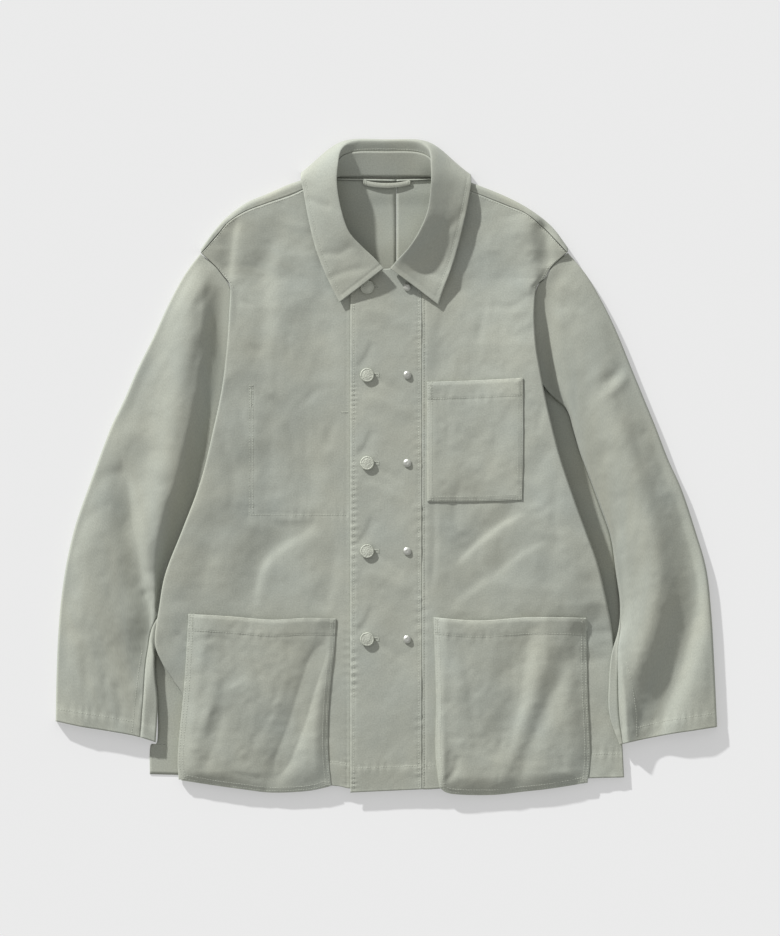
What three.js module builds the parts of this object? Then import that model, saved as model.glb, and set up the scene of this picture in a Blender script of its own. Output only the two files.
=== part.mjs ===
// A chore jacket in heavy cotton twill, laid out flat on its back.
// Millimetres, +Z up. The plan is the garment seen from above: +Y runs towards the collar
// and -X is the wearer's right. It rests on z = 0, and its plan is centred on the origin.
import * as THREE from 'three';

// Driving dimensions
const WALL = 1.5; // thickness of one layer of cloth
const SEAM = 0.3; // space between two pieces that are sewn edge to edge
const LAP = 0.6; // space under a piece that lies on another
const ROLL = 4.5; // largest radius of a folded edge, seen from above
const PLAN_CENTRE = { x: 0.5, y: 1.15 }; // middle of the plan in the coordinates used below

const PLACKET = { left: -43.4, right: 43.1, top: 243, hem: -396 };
const UNDERLAP = 8; // how far the right front runs under the placket
const CENTRE_BACK = 12.6; // x of the centre back seam
const BUTTON = { x: -23, radius: 8.5, height: 3, first: 221, pitch: 107.5, count: 5 };
const STUD = { x: 26, radius: 5, height: 2.6 };
const SHOULDER_ROLL = 6; // radius of the fold where the back turns over the shoulder
const SHOULDER_GAP = 1.2; // from the shoulder seam to the end of the back that turns over it
const SIDE_RISE = 120; // how far in from its folded side a front starts to rise towards it
const COLLAR_SEAT = { front: 318, back: 340, inner: 104, outer: 128 }; // where the back rests on the collar
const WRAP = { start: 66, end: 84 }; // distance from the middle at which the back starts to turn over
const TURNED_UNDER = { share: 0.62, height: 9, raised: 12 }; // the part of a front under its folded side
const HEAD_INSET = 4.4; // how far the back stays clear of the sleeve's head
const SLEEVE_START = 12; // how far above its corner the back starts to follow the sleeve

const TWILL = { color: 0xa3a699, roughness: 0.9, metalness: 0 };
const HORN = { color: 0x9ea294, roughness: 0.5, metalness: 0.1 };
const METAL = { color: 0xc8cac6, roughness: 0.35, metalness: 1 };

const { clamp, lerp, smoothstep } = THREE.MathUtils;

// Height of the fronts along the middle of the body, from the hem to the shoulders
const MIDDLE = [
  { y: -400, z: 7.6 }, { y: -372, z: 9.6 }, { y: -300, z: 12.6 }, { y: -200, z: 14 }, { y: 0, z: 15 },
  { y: 150, z: 14.5 }, { y: 250, z: 13.4 }, { y: 300, z: 12.6 }, { y: 355, z: 12 },
];

// The side of each front, a row for each level: the fold's outermost x, the height of the cloth there,
// the height of the cloth turned under it, where that ends, and the front's centre edge at that level.
// The last four rows run along the armhole seam.
const RIGHT_SIDE = [
  { y: -380, fold: -253, top: 8, under: 2, tuck: -236, cx: UNDERLAP, cy: -390 },
  { y: -351, fold: -254, top: 10.5, under: 2, tuck: -234, cx: UNDERLAP, cy: -357 },
  { y: -315, fold: -248, top: 12.5, under: 2, tuck: -228, cx: UNDERLAP, cy: -319 },
  { y: -283, fold: -246, top: 14, under: 2, tuck: -226, cx: UNDERLAP, cy: -285 },
  { y: -259, fold: -260, top: 16, under: 4, tuck: -236, cx: UNDERLAP, cy: -260 },
  { y: -238, fold: -273, top: 18.5, under: 11, tuck: -247, cx: UNDERLAP, cy: -238 },
  { y: -212, fold: -282, top: 20.5, under: 13, tuck: -250, cx: UNDERLAP, cy: -211 },
  { y: -171, fold: -277, top: 22, under: 13, tuck: -243, cx: UNDERLAP, cy: -170 },
  { y: -128, fold: -269, top: 22.5, under: 13, tuck: -230, cx: UNDERLAP, cy: -127 },
  { y: -74, fold: -248, top: 23, under: 13, tuck: -211, cx: UNDERLAP, cy: -72 },
  { y: -15, fold: -226, top: 23.5, under: 13, tuck: -191, cx: UNDERLAP, cy: -13 },
  { y: 46, fold: -211, top: 23.5, under: 13, tuck: -169, cx: UNDERLAP, cy: 50 },
  { y: 99, fold: -200, top: 23, under: 13, tuck: -157, cx: UNDERLAP, cy: 104 },
  { y: 150, fold: -194, top: 22, under: 13, tuck: -158, cx: UNDERLAP, cy: 157 },
  { y: 196, fold: -191, top: 18.5, under: 12.4, tuck: -166, cx: UNDERLAP, cy: 205 },
  { y: 222, fold: -190.5, top: 13.5, under: 9.4, tuck: -183, cx: 4, cy: 236 },
  { y: 235, fold: -199, top: 11.4, under: 8, tuck: -194, cx: -30, cy: 262 },
  { y: 247, fold: -209, top: 10.4, under: 7, tuck: -204, cx: -52, cy: 296 },
  { y: 262, fold: -225.5, top: 9.6, under: 6.2, tuck: -221, cx: -72, cy: 351 },
];
const LEFT_SIDE = [
  { y: -377.5, fold: 290.5, top: 6.4, under: 2, tuck: 270, cx: 43.9, cy: -392 },
  { y: -332, fold: 288, top: 6.4, under: 2, tuck: 268, cx: 43.9, cy: -338 },
  { y: -283, fold: 284, top: 6.4, under: 2, tuck: 264, cx: 43.9, cy: -286 },
  { y: -234, fold: 279, top: 6.4, under: 2, tuck: 259, cx: 43.9, cy: -235 },
  { y: -199, fold: 276, top: 9, under: 2, tuck: 256, cx: 43.9, cy: -199 },
  { y: -166, fold: 270, top: 19, under: 2, tuck: 250, cx: 43.9, cy: -165 },
  { y: -119, fold: 259, top: 25, under: 2, tuck: 239, cx: 43.9, cy: -118 },
  { y: -82, fold: 246, top: 27.5, under: 2, tuck: 226, cx: 43.9, cy: -80 },
  { y: -44, fold: 232, top: 28.5, under: 2, tuck: 212, cx: 43.9, cy: -42 },
  { y: 9, fold: 214, top: 29, under: 2, tuck: 194, cx: 43.9, cy: 12 },
  { y: 50, fold: 203, top: 29, under: 3.5, tuck: 180, cx: 43.9, cy: 54 },
  { y: 84, fold: 195, top: 28.5, under: 11.5, tuck: 168, cx: 43.9, cy: 90 },
  { y: 120, fold: 188, top: 27.5, under: 13, tuck: 156, cx: 43.9, cy: 127 },
  { y: 151, fold: 183, top: 26, under: 13, tuck: 150, cx: 43.9, cy: 160 },
  { y: 190, fold: 181, top: 21.5, under: 12.4, tuck: 156, cx: 43.9, cy: 212 },
  { y: 221, fold: 184, top: 14.5, under: 9.4, tuck: 177, cx: 43.9, cy: 262 },
  { y: 232, fold: 194, top: 11.6, under: 8.2, tuck: 189, cx: 52, cy: 283 },
  { y: 246, fold: 202.5, top: 10.6, under: 7.2, tuck: 198, cx: 64, cy: 316 },
  { y: 263, fold: 221, top: 9.6, under: 6.2, tuck: 216.5, cx: 74, cy: 350 },
];

// Seams along the top of the fronts, from the neck to the shoulder point, and the outline of the
// shoulder outside them, where the back turns over
const SHOULDERS = {
  right: {
    seam: [[-72, 351], [-92, 344], [-116, 333], [-147, 322.5], [-172, 313], [-192, 300.5], [-206, 284], [-225.5, 262]],
    outline: [[-66, 356.5], [-86, 357], [-113, 350], [-146, 335.5], [-170, 325], [-194, 307], [-211, 288], [-226, 267]],
  },
  left: {
    seam: [[74, 350], [94, 342], [119, 331.5], [148, 320], [171, 310.5], [191, 294], [205, 280], [221, 263]],
    outline: [[62, 356.5], [86, 356], [115, 346], [146, 333], [172, 319], [194, 303], [208, 288.5], [222, 268.5]],
  },
};

// Sleeves: a row for each level from the armhole to the cuff, with the outer and inner edges, and how
// far from the inner edge the seam between the upper and the under piece lies.
// head is the armhole seam and cuff the hem, both from the outer to the inner edge.
const RIGHT_SLEEVE = {
  rows: [
    { ox: -228.4, oy: 261, ix: -181, iy: 62, seam: 12 },
    { ox: -246, oy: 235, ix: -189, iy: 40, seam: 12 },
    { ox: -266, oy: 198, ix: -197, iy: 16, seam: 12 },
    { ox: -284, oy: 159, ix: -205, iy: -8, seam: 12 },
    { ox: -303, oy: 121, ix: -214, iy: -33, seam: 12 },
    { ox: -319, oy: 84, ix: -223, iy: -58, seam: 12 },
    { ox: -334, oy: 53, ix: -232, iy: -84, seam: 12 },
    { ox: -348, oy: 17, ix: -241, iy: -112, seam: 12 },
    { ox: -363, oy: -24, ix: -250, iy: -142, seam: 12 },
    { ox: -378, oy: -67, ix: -261, iy: -174, seam: 12 },
    { ox: -389, oy: -112, ix: -273, iy: -205, seam: 18 },
    { ox: -396, oy: -158, ix: -281, iy: -228, seam: 14 },
    { ox: -400, oy: -205, ix: -281.5, iy: -252, seam: 17 },
    { ox: -402, oy: -255, ix: -278.5, iy: -288, seam: 23 },
    { ox: -403, oy: -309, ix: -281, iy: -334.5, seam: 25 },
  ],
  head: [[-228.4, 261], [-210.4, 245.2], [-200.4, 233.4], [-192.2, 220.6], [-185, 195], [-179, 160], [-176, 120],
    [-176, 88], [-181, 62]],
  cuff: [[-403, -309], [-371, -316], [-345, -320], [-306, -327], [-281, -334.5]],
  lift: 0,
};
const LEFT_SLEEVE = {
  rows: [
    { ox: 223.6, oy: 261.6, ix: 190, iy: 103, seam: 9 },
    { ox: 244, oy: 236, ix: 203, iy: 87, seam: 9 },
    { ox: 263, oy: 204, ix: 221, iy: 70, seam: 9 },
    { ox: 281, oy: 167, ix: 229, iy: 45, seam: 9 },
    { ox: 299, oy: 123, ix: 237, iy: 18, seam: 9 },
    { ox: 315, oy: 84, ix: 249, iy: -14, seam: 9 },
    { ox: 329, oy: 50, ix: 263, iy: -52, seam: 9 },
    { ox: 344, oy: 11, ix: 274, iy: -84, seam: 9 },
    { ox: 361, oy: -27, ix: 280, iy: -125, seam: 9 },
    { ox: 377, oy: -75, ix: 285, iy: -164, seam: 9 },
    { ox: 391, oy: -124, ix: 283.5, iy: -196, seam: 10 },
    { ox: 397, oy: -178, ix: 275, iy: -228, seam: 14 },
    { ox: 400, oy: -228, ix: 272, iy: -262, seam: 21 },
    { ox: 402, oy: -270, ix: 272.5, iy: -300, seam: 26 },
    { ox: 404, oy: -316, ix: 285, iy: -338, seam: 18 },
  ],
  head: [[223.6, 261.6], [213.6, 254.6], [204.8, 243.6], [196.4, 230], [186.4, 219], [178.5, 190], [176.5, 150],
    [180, 122], [190, 103]],
  cuff: [[404, -316], [372, -321], [339, -326], [296, -335], [285, -338]],
  lift: 7.4, // the cuff end lies on the edge of the body
};
const SLEEVE = { height: 13, tucked: 10.3, edge: 4.5, edgeHeight: 0.78, crown: 30, edgeLift: 0.72 };

// Collar, a row for each section round the neck: its seam on the neck, its fold, the middle of the
// turned-over part and its outer edge
const COLLAR = [
  { neck: [-6, 239, 19], fold: [-3, 243.5, 26], middle: [-30, 222.5, 23.5], edge: [-57, 202, 19] },
  { neck: [-22, 256, 18], fold: [-13, 255, 26.5], middle: [-41, 237.5, 23.5], edge: [-66, 220, 19] },
  { neck: [-37, 270, 17], fold: [-29, 270, 27.5], middle: [-54, 255, 23], edge: [-74, 237, 19] },
  { neck: [-54, 291, 17], fold: [-45, 288, 30], middle: [-67, 276, 24], edge: [-86, 268, 18.6] },
  { neck: [-66, 317, 16], fold: [-55, 317, 31.5], middle: [-78, 305, 25], edge: [-95, 305, 17.6] },
  { neck: [-70, 340, 14.6], fold: [-60, 349, 32], middle: [-84, 342, 24], edge: [-101, 338, 16] },
  { neck: [-68, 350, 10.5], fold: [-59, 368, 30], middle: [-90, 360, 18], edge: [-104, 354, 14] },
  { neck: [-60, 355, 7], fold: [-55, 388, 23], middle: [-83, 377, 9.6], edge: [-101, 362, 0.6] },
  { neck: [-40, 356, 5.4], fold: [-44, 397.5, 16], middle: [-55, 397, 5.4], edge: [-62, 352, 0] },
  { neck: [0, 356, 5], fold: [0, 399.6, 14], middle: [0, 399.6, 5], edge: [0, 346, 0] },
  { neck: [38, 356, 5.4], fold: [42, 397.5, 16], middle: [54, 396, 5.4], edge: [62, 351, 0] },
  { neck: [58, 355, 7], fold: [53, 388, 24], middle: [81, 375, 10], edge: [101, 359.5, 0.6] },
  { neck: [66, 350, 10], fold: [55, 368, 33], middle: [88, 358, 20], edge: [104, 351, 15] },
  { neck: [70, 340, 14], fold: [55, 349, 38], middle: [80, 340, 27], edge: [102, 334, 20] },
  { neck: [62, 317, 16], fold: [51, 315, 38.8], middle: [74, 302, 28.5], edge: [95, 300, 23] },
  { neck: [51, 292, 17], fold: [40, 288, 37.5], middle: [64, 274, 25], edge: [86, 264, 23] },
  { neck: [38, 271, 18], fold: [27, 268, 33], middle: [54, 251, 20.5], edge: [77, 236, 21.5] },
  { neck: [22, 257, 19], fold: [14, 254, 28], middle: [44, 235, 19.8], edge: [70, 218, 20] },
  { neck: [8, 241, 20], fold: [5, 243.5, 26.5], middle: [35, 221.5, 22.5], edge: [64, 199, 18.8] },
];
const STAND_SHARE = 0.7; // how far up from the neck to the fold the stand reaches

// Patch pockets: their four sides, and how far the middle stands off the front
const POCKETS = {
  chest_pocket: {
    top: [[50, 105], [108, 107], [167, 110]], bottom: [[50.5, -41], [108, -41], [166, -39]],
    left: [[50.5, -41], [50, 30], [50, 105]], right: [[166, -39], [167.5, 35], [167, 110]],
    stand: 0.6, columns: 6, rows: 7,
  },
  hip_pocket_right: {
    top: [[-241, -178], [-190, -181], [-139, -185], [-100, -183], [-61, -183.5]],
    bottom: [[-250, -381], [-211, -387], [-175, -392], [-139, -396], [-95, -394], [-67, -388]],
    left: [[-250, -381], [-254, -351], [-246, -262], [-241, -178]],
    right: [[-67, -388], [-71, -340], [-69, -280], [-63, -220], [-61, -183.5]],
    stand: 6.5, columns: 12, rows: 12,
  },
  hip_pocket_left: {
    top: [[58, -182], [113, -186], [176, -182], [244.5, -183]],
    bottom: [[65, -390], [80, -397.5], [127, -399], [167, -395], [202, -391], [246, -384]],
    left: [[65, -390], [60, -345], [61, -280], [58, -182]],
    right: [[246, -384], [249, -346], [246, -270], [244.5, -183]],
    stand: 6.5, columns: 12, rows: 12,
  },
};
const INNER_POCKET = {
  top: [[-166, 102], [-50, 102]], bottom: [[-166, -57], [-50, -57]],
  left: [[-166, -57], [-166, 102]], right: [[-50, -57], [-50, 102]],
};

// Largest folds: the height of a ridge (or depth of a trough), its half widths on the left and on the
// right of its path, and the path in plan
const BODY_FOLDS = [
  { rise: -3.2, left: 6, right: 15, path: [[-184, 306], [-190, 268], [-193, 228]] },
  { rise: -2.8, left: 20, right: 22, path: [[-140, 304], [-154, 256], [-162, 180], [-170, 100]] },
  { rise: -1.4, left: 20, right: 14, path: [[-112, 296], [-116, 262], [-112, 214]] },
  { rise: -1.6, left: 26, right: 22, path: [[-100, 206], [-84, 150], [-70, 100]] },
  { rise: -1.4, left: 12, right: 16, path: [[-142, 70], [-144, 0], [-140, -40]] },
  { rise: -1.1, left: 12, right: 14, path: [[-100, 60], [-98, 0], [-94, -44]] },
  {
    rise: -3, left: 7, right: 18,
    path: [[-84, -62], [-104, -78], [-128, -92], [-150, -112],
      [-160, -142], [-164, -178]],
  },
  { rise: -1.1, left: 9, right: 16, path: [[-52, -80], [-66, -120], [-76, -176]] },
  { rise: -1.6, left: 14, right: 20, path: [[-206, -40], [-220, -110], [-234, -178]] },
  { rise: 4, left: 8, right: 26, path: [[170, 312], [178, 278], [180, 244], [182, 210]] },
  { rise: -2.8, left: 12, right: 8, path: [[182, 300], [190, 276], [195, 248]] },
  { rise: -1.2, left: 18, right: 12, path: [[80, 236], [68, 176], [60, 112]] },
  { rise: -1.3, left: 10, right: 14, path: [[200, 30], [186, 4], [174, -20]] },
  { rise: -2.4, left: 5, right: 15, path: [[170, -50], [140, -66], [112, -88], [82, -116]] },
  { rise: -1.4, left: 6, right: 16, path: [[196, -84], [160, -104], [124, -134]] },
  { rise: -1.3, left: 7, right: 14, path: [[126, -128], [98, -148], [74, -172]] },
  { rise: -1.5, left: 5, right: 9, path: [[56, -30], [58, -90], [54, -150]] },
  { rise: -1.4, left: 14, right: 16, path: [[204, -80], [200, -150]] },
  { rise: -1.6, left: 10, right: 16, path: [[244, -126], [262, -196]] },
];
const POCKET_FOLDS = [
  {
    rise: -4.2, left: 8, right: 36,
    path: [[-64, -214], [-86, -246], [-102, -290], [-116, -326],
      [-132, -364], [-142, -394]],
  },
  { rise: 1.6, left: 7, right: 10, path: [[-205, -250], [-212, -284], [-226, -330]] },
  { rise: -1.6, left: 8, right: 14, path: [[-200, -290], [-208, -330], [-226, -376]] },
  { rise: -1.4, left: 20, right: 22, path: [[-206, -210], [-196, -244], [-186, -268]] },
  { rise: -1.8, left: 12, right: 16, path: [[148, -204], [146, -250], [142, -290]] },
  { rise: 2.8, left: 8, right: 30, path: [[226, -232], [208, -272], [178, -310], [160, -348], [146, -392]] },
  { rise: -1.5, left: 22, right: 9, path: [[232, -248], [216, -292], [192, -330], [176, -360], [166, -392]] },
  { rise: -1.8, left: 10, right: 7, path: [[70, -214], [76, -262], [74, -310], [80, -360], [72, -390]] },
  { rise: -1.4, left: 6, right: 9, path: [[231, -206], [236, -284]] },
];
const SLEEVE_FOLDS = [
  {
    rise: 6.6, left: 17, right: 24,
    path: [[-210, 250], [-228, 200], [-240, 110], [-252, 40],
      [-266, -20], [-282, -84], [-298, -126]],
  },
  { rise: -1.8, left: 20, right: 26, path: [[-244, 210], [-264, 150], [-292, 90], [-306, 40]] },
  {
    rise: -7.4, left: 7, right: 21,
    path: [[-314, -26], [-311, -60], [-305, -92], [-298, -140],
      [-288, -178], [-291, -226]],
  },
  { rise: 1.8, left: 22, right: 24, path: [[-356, -60], [-362, -140], [-358, -220]] },
  { rise: -1.8, left: 9, right: 12, path: [[-356, -8], [-336, -8], [-312, -2]] },
  {
    rise: 7.4, left: 21, right: 24,
    path: [[236, 168], [264, 96], [288, 34], [310, -27], [327, -94],
      [331, -149], [320, -200], [305, -249], [298, -296]],
  },
  {
    rise: -6.6, left: 8, right: 24,
    path: [[350, -30], [364, -80], [373, -124], [376, -165],
      [368, -222], [352, -272], [330, -310]],
  },
  { rise: -1.8, left: 22, right: 20, path: [[318, 60], [334, 20], [348, -30]] },
  { rise: 1.4, left: 8, right: 8, path: [[394, -150], [392, -220], [390, -290]] },
  { rise: -1.4, left: 8, right: 9, path: [[282, 116], [268, 104], [258, 92]] },
];

const spline = (points) => new THREE.SplineCurve(points.map(([x, y]) => new THREE.Vector2(x, y)));
const POINTS_PER_ROW = 3; // places on a fold's smooth line for each point of its path
for (const fold of [...BODY_FOLDS, ...POCKET_FOLDS, ...SLEEVE_FOLDS]) {
  fold.line = spline(fold.path).getPoints(POINTS_PER_ROW * fold.path.length - 1);
}

// Reads one column of a table by its y, and runs smoothly from row to row
function readColumn(table, key, y) {
  const last = table.length - 1;
  if (y <= table[0].y) return table[0][key];
  if (y >= table[last].y) return table[last][key];
  const above = table.findIndex((row) => row.y > y);
  const low = table[above - 1];
  const high = table[above];
  return lerp(low[key], high[key], (y - low.y) / (high.y - low.y));
}

// Height that the folds add at one place
function foldsAt(folds, x, y) {
  let total = 0;
  for (const { rise, left, right, line } of folds) {
    let best = Infinity;
    let along = 0;
    let width = left;
    for (let i = 0; i < line.length - 1; i += 1) {
      const start = line[i];
      const stepX = line[i + 1].x - start.x;
      const stepY = line[i + 1].y - start.y;
      const t = clamp(((x - start.x) * stepX + (y - start.y) * stepY) / (stepX ** 2 + stepY ** 2), 0, 1);
      const dx = x - start.x - t * stepX;
      const dy = y - start.y - t * stepY;
      const distance2 = dx ** 2 + dy ** 2;
      if (distance2 < best) {
        best = distance2;
        along = (i + t) / (line.length - 1);
        width = stepX * dy - stepY * dx > 0 ? left : right;
      }
    }
    const fade = smoothstep(along, -0.08, 0.25) * (1 - smoothstep(along, 0.75, 1.08));
    total += rise * fade * Math.exp(-best / width ** 2);
  }
  return total;
}

// How far a place lies inside the folded edge of the body, on its own side
function insideFold(x, y) {
  return x < 0 ? x - readColumn(RIGHT_SIDE, 'fold', y) : readColumn(LEFT_SIDE, 'fold', y) - x;
}

// Height of the upper face of the right front, and of the left front's before it laps over
function bodyHeight(x, y) {
  const side = x < 0 ? RIGHT_SIDE : LEFT_SIDE;
  const middle = readColumn(MIDDLE, 'z', y);
  const edge = readColumn(side, 'top', y);
  const armhole = side[side.length - 4].y;
  const shoulder = 1 - smoothstep(y, armhole, armhole + 75);
  const nearness = (1 - smoothstep(insideFold(x, y), 4, SIDE_RISE)) * Math.max(shoulder, 0.35);
  const calm = smoothstep(Math.abs(x), 44, 70) * smoothstep(insideFold(x, y), -4, 10);
  return lerp(middle, edge, nearness) + foldsAt(BODY_FOLDS, x, y) * calm;
}

// The left front and the placket lie one layer higher near the centre
function lappedHeight(x, y) {
  const lift = x < 0 ? 1 : 1 - smoothstep(x, 50, 120);
  return bodyHeight(x, y) + (WALL + LAP) * lift;
}

// Closed solid between two grids of points with the same columns and rows
function solidBetween(outer, inner) {
  const rows = outer.length;
  const columns = outer[0].length;
  const positions = [...outer.flat(), ...inner.flat()].flatMap((p) => [p.x, p.y, p.z]);
  const index = [];
  const at = (layer, row, column) => (layer * rows + row) * columns + column;
  const quad = (a, b, c, d) => index.push(a, b, c, a, c, d);
  for (let r = 0; r < rows - 1; r += 1) {
    for (let c = 0; c < columns - 1; c += 1) {
      quad(at(0, r, c), at(0, r, c + 1), at(0, r + 1, c + 1), at(0, r + 1, c));
      quad(at(1, r, c), at(1, r + 1, c), at(1, r + 1, c + 1), at(1, r, c + 1));
    }
  }
  for (let c = 0; c < columns - 1; c += 1) {
    quad(at(0, 0, c), at(1, 0, c), at(1, 0, c + 1), at(0, 0, c + 1));
    quad(at(0, rows - 1, c), at(0, rows - 1, c + 1), at(1, rows - 1, c + 1), at(1, rows - 1, c));
  }
  for (let r = 0; r < rows - 1; r += 1) {
    quad(at(0, r, 0), at(0, r + 1, 0), at(1, r + 1, 0), at(1, r, 0));
    quad(at(0, r, columns - 1), at(1, r, columns - 1), at(1, r + 1, columns - 1), at(0, r + 1, columns - 1));
  }
  const geometry = new THREE.BufferGeometry();
  geometry.setAttribute('position', new THREE.Float32BufferAttribute(positions, 3));
  geometry.setIndex(index);
  return geometry;
}

// Turns a geometry's faces over where it was built inside out
function facingOut(geometry) {
  const p = geometry.getAttribute('position');
  const index = geometry.getIndex().array;
  const corner = [0, 1, 2].map(() => new THREE.Vector3());
  let volume = 0;
  for (let i = 0; i < index.length; i += 3) {
    corner.forEach((v, k) => v.fromBufferAttribute(p, index[i + k]));
    volume += corner[0].dot(corner[1].clone().cross(corner[2]));
  }
  if (volume < 0) {
    for (let i = 0; i < index.length; i += 3) [index[i], index[i + 1]] = [index[i + 1], index[i]];
  }
  geometry.computeVertexNormals();
  return geometry;
}

// A grid of cloth, given its outer face. The wall goes inwards, along the normal or straight down.
function cloth(outer, { inwards = 1, straightDown = false } = {}) {
  const rows = outer.length;
  const columns = outer[0].length;
  const inner = outer.map((line, r) => line.map((p, c) => {
    if (straightDown) return new THREE.Vector3(p.x, p.y, p.z - WALL);
    const across = line[Math.min(c + 1, columns - 1)].clone().sub(line[Math.max(c - 1, 0)]);
    const along = outer[Math.min(r + 1, rows - 1)][c].clone().sub(outer[Math.max(r - 1, 0)][c]);
    const normal = across.cross(along).normalize();
    return p.clone().addScaledVector(normal, -WALL * inwards);
  }));
  return facingOut(solidBetween(outer, inner));
}

const steps = (count) => Array.from({ length: count }, (_, i) => i / (count - 1));

// Point of a patch that follows four edges: bottom and top run with u, left and right with v
function patch({ bottom, top, left, right }, u, v, hold = 1) {
  const low = (1 - v) ** hold;
  const high = v ** hold;
  const b = [bottom.getPoint(u), bottom.getPoint(0), bottom.getPoint(1)];
  const t = [top.getPoint(u), top.getPoint(0), top.getPoint(1)];
  const l = left.getPoint(v);
  const r = right.getPoint(v);
  const blend = (k) => lerp(l[k], r[k], u)
    + low * (b[0][k] - lerp(b[1][k], b[2][k], u))
    + high * (t[0][k] - lerp(t[1][k], t[2][k], u));
  return new THREE.Vector2(blend('x'), blend('y'));
}

// Fronts: flat columns from the centre to the side, then the rolled edge and the part turned under
function front(side, shoulder, heightAt, hem) {
  const across = [0, 0.5, 1, 1.5, 2, 2.5, 3, 3.5, 4, 4.5, 5, 5.5, 6, 7].map((point) => point / 7);
  const levels = steps(27);
  const outline = {
    bottom: spline(hem),
    top: spline(shoulder.seam),
    left: spline(side.map((row) => [row.cx, row.cy])),
    right: spline(side.map((row) => {
      const inset = Math.min(ROLL, (row.top - row.under) / 2);
      return [row.fold - Math.sign(row.fold) * inset, row.y];
    })),
  };
  const numbers = (key) => new THREE.SplineCurve(side.map((row) => new THREE.Vector2(row[key], 0)));
  const columns = { top: numbers('top'), under: numbers('under'), tuck: numbers('tuck') };
  return cloth(levels.map((v) => {
    const flat = across.map((u) => {
      const p = patch(outline, u, v, 3);
      return new THREE.Vector3(p.x, p.y, heightAt(p.x, p.y));
    });
    const edge = flat[flat.length - 1];
    const outward = Math.sign(edge.x);
    const under = columns.under.getPoint(v).x;
    const tuck = columns.tuck.getPoint(v).x;
    const half = (edge.z - under) / 2;
    const reach = Math.min(ROLL, half);
    const roll = [60, 25, -10, -50, -90].map((degrees) => {
      const angle = THREE.MathUtils.degToRad(degrees);
      const x = edge.x + outward * reach * Math.cos(angle);
      return new THREE.Vector3(x, edge.y, under + half + half * Math.sin(angle));
    });
    const bend = lerp(edge.x, tuck, TURNED_UNDER.share);
    const lowered = smoothstep(under, TURNED_UNDER.height, TURNED_UNDER.raised);
    const turned = [
      new THREE.Vector3(bend, edge.y, lerp(under, Math.min(under, TURNED_UNDER.height), 0.2)),
      new THREE.Vector3(tuck, edge.y, Math.min(under, lerp(under, WALL + LAP, lowered))),
    ];
    return [...flat, ...roll, ...turned];
  }), { inwards: Math.sign(side[0].fold) });
}

// Backs: flat on the floor, turned over the shoulder to meet the front, and raised over the collar
function back(side, shoulder, sleeve, hem, corner) {
  const outward = Math.sign(side[0].fold);
  const inner = new THREE.LineCurve(
    new THREE.Vector2(CENTRE_BACK + outward * SEAM / 2, hem[0][1]),
    new THREE.Vector2(CENTRE_BACK + outward * SEAM / 2, 352),
  );
  const sleeveEdge = [
    ...sleeve.rows.slice().reverse().map(({ ix, iy }) => [ix - outward, iy]),
    ...sleeve.head.slice(1, -1).reverse().map(([x, y]) => [x - outward * HEAD_INSET, y]),
  ].filter(([, y]) => y > corner[corner.length - 1][1] + SLEEVE_START);
  const outline = {
    bottom: spline(hem),
    top: spline([[CENTRE_BACK + outward * SEAM / 2, 355], ...shoulder.outline]),
    left: inner,
    right: spline([...corner, ...sleeveEdge, shoulder.outline[shoulder.outline.length - 1]]),
  };
  const raise = (x, y) => (WALL + LAP) * smoothstep(y, COLLAR_SEAT.front, COLLAR_SEAT.back)
    * (1 - smoothstep(Math.abs(x), COLLAR_SEAT.inner, COLLAR_SEAT.outer));
  const across = steps(outline.top.points.length);
  const levels = steps(outline.right.points.length);
  const turns = across.map((u, column) => {
    const [x, y] = shoulder.outline[Math.max(column - 1, 0)];
    const [seamX, seamY] = shoulder.seam[Math.max(column - 1, 0)];
    const wrapped = column > 0 ? smoothstep(Math.abs(x), WRAP.start, WRAP.end) : 0;
    const reach = lerp(1, clamp(y - seamY - SHOULDER_GAP - 0.8, 1, SHOULDER_ROLL), wrapped);
    return { wrapped, reach, endX: seamX + outward * SHOULDER_GAP * 0.7, endY: seamY + SHOULDER_GAP };
  });
  const rows = levels.map((v) => across.map((u, column) => {
    const p = patch(outline, u, v, 2.5);
    const y = p.y - v ** 6 * turns[column].reach;
    return new THREE.Vector3(p.x, y, raise(p.x, y));
  }));
  const last = rows[rows.length - 1];
  const rollRows = [-50, -10, 30, 65, 90].map((degrees) => turns.map(({ wrapped, reach }, column) => {
    const angle = THREE.MathUtils.degToRad(degrees);
    const foot = last[column];
    const seamTop = Math.min(bodyHeight(foot.x, foot.y - SHOULDER_ROLL), 12.4) - foot.z;
    const half = lerp(1.6, seamTop / 2, wrapped);
    return new THREE.Vector3(foot.x, foot.y + reach * Math.cos(angle), foot.z + half + half * Math.sin(angle));
  }));
  const end = turns.map(({ wrapped, endX, endY }, column) => {
    const top = rollRows[rollRows.length - 1][column];
    const y = Math.min(endY, top.y - 0.6);
    return new THREE.Vector3(lerp(top.x, endX, wrapped), lerp(top.y - 1, y, wrapped), top.z);
  });
  return cloth([...rows, ...rollRows, end], { inwards: -outward });
}

// A place across a sleeve: on its upper or lower face, a distance from its outer or inner edge
const fromOuter = (face, distance) => ({ face, at: (width) => distance / width });
const fromInner = (face, distance) => ({ face, at: (width) => 1 - distance / width });
const upperPart = (share) => ({
  face: 1, at: (width, seam) => lerp(SLEEVE.edge / width, 1 - (seam + 7 * SEAM) / width, share),
});
const seamPart = (share) => ({ face: 1, at: (width, seam) => 1 - (seam * share ** 2) / width });
const lowerPart = (share) => ({
  face: -1, at: (width) => lerp(1 - SLEEVE.edge / width, (SLEEVE.edge + 6 * SEAM) / width, share),
});

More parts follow.
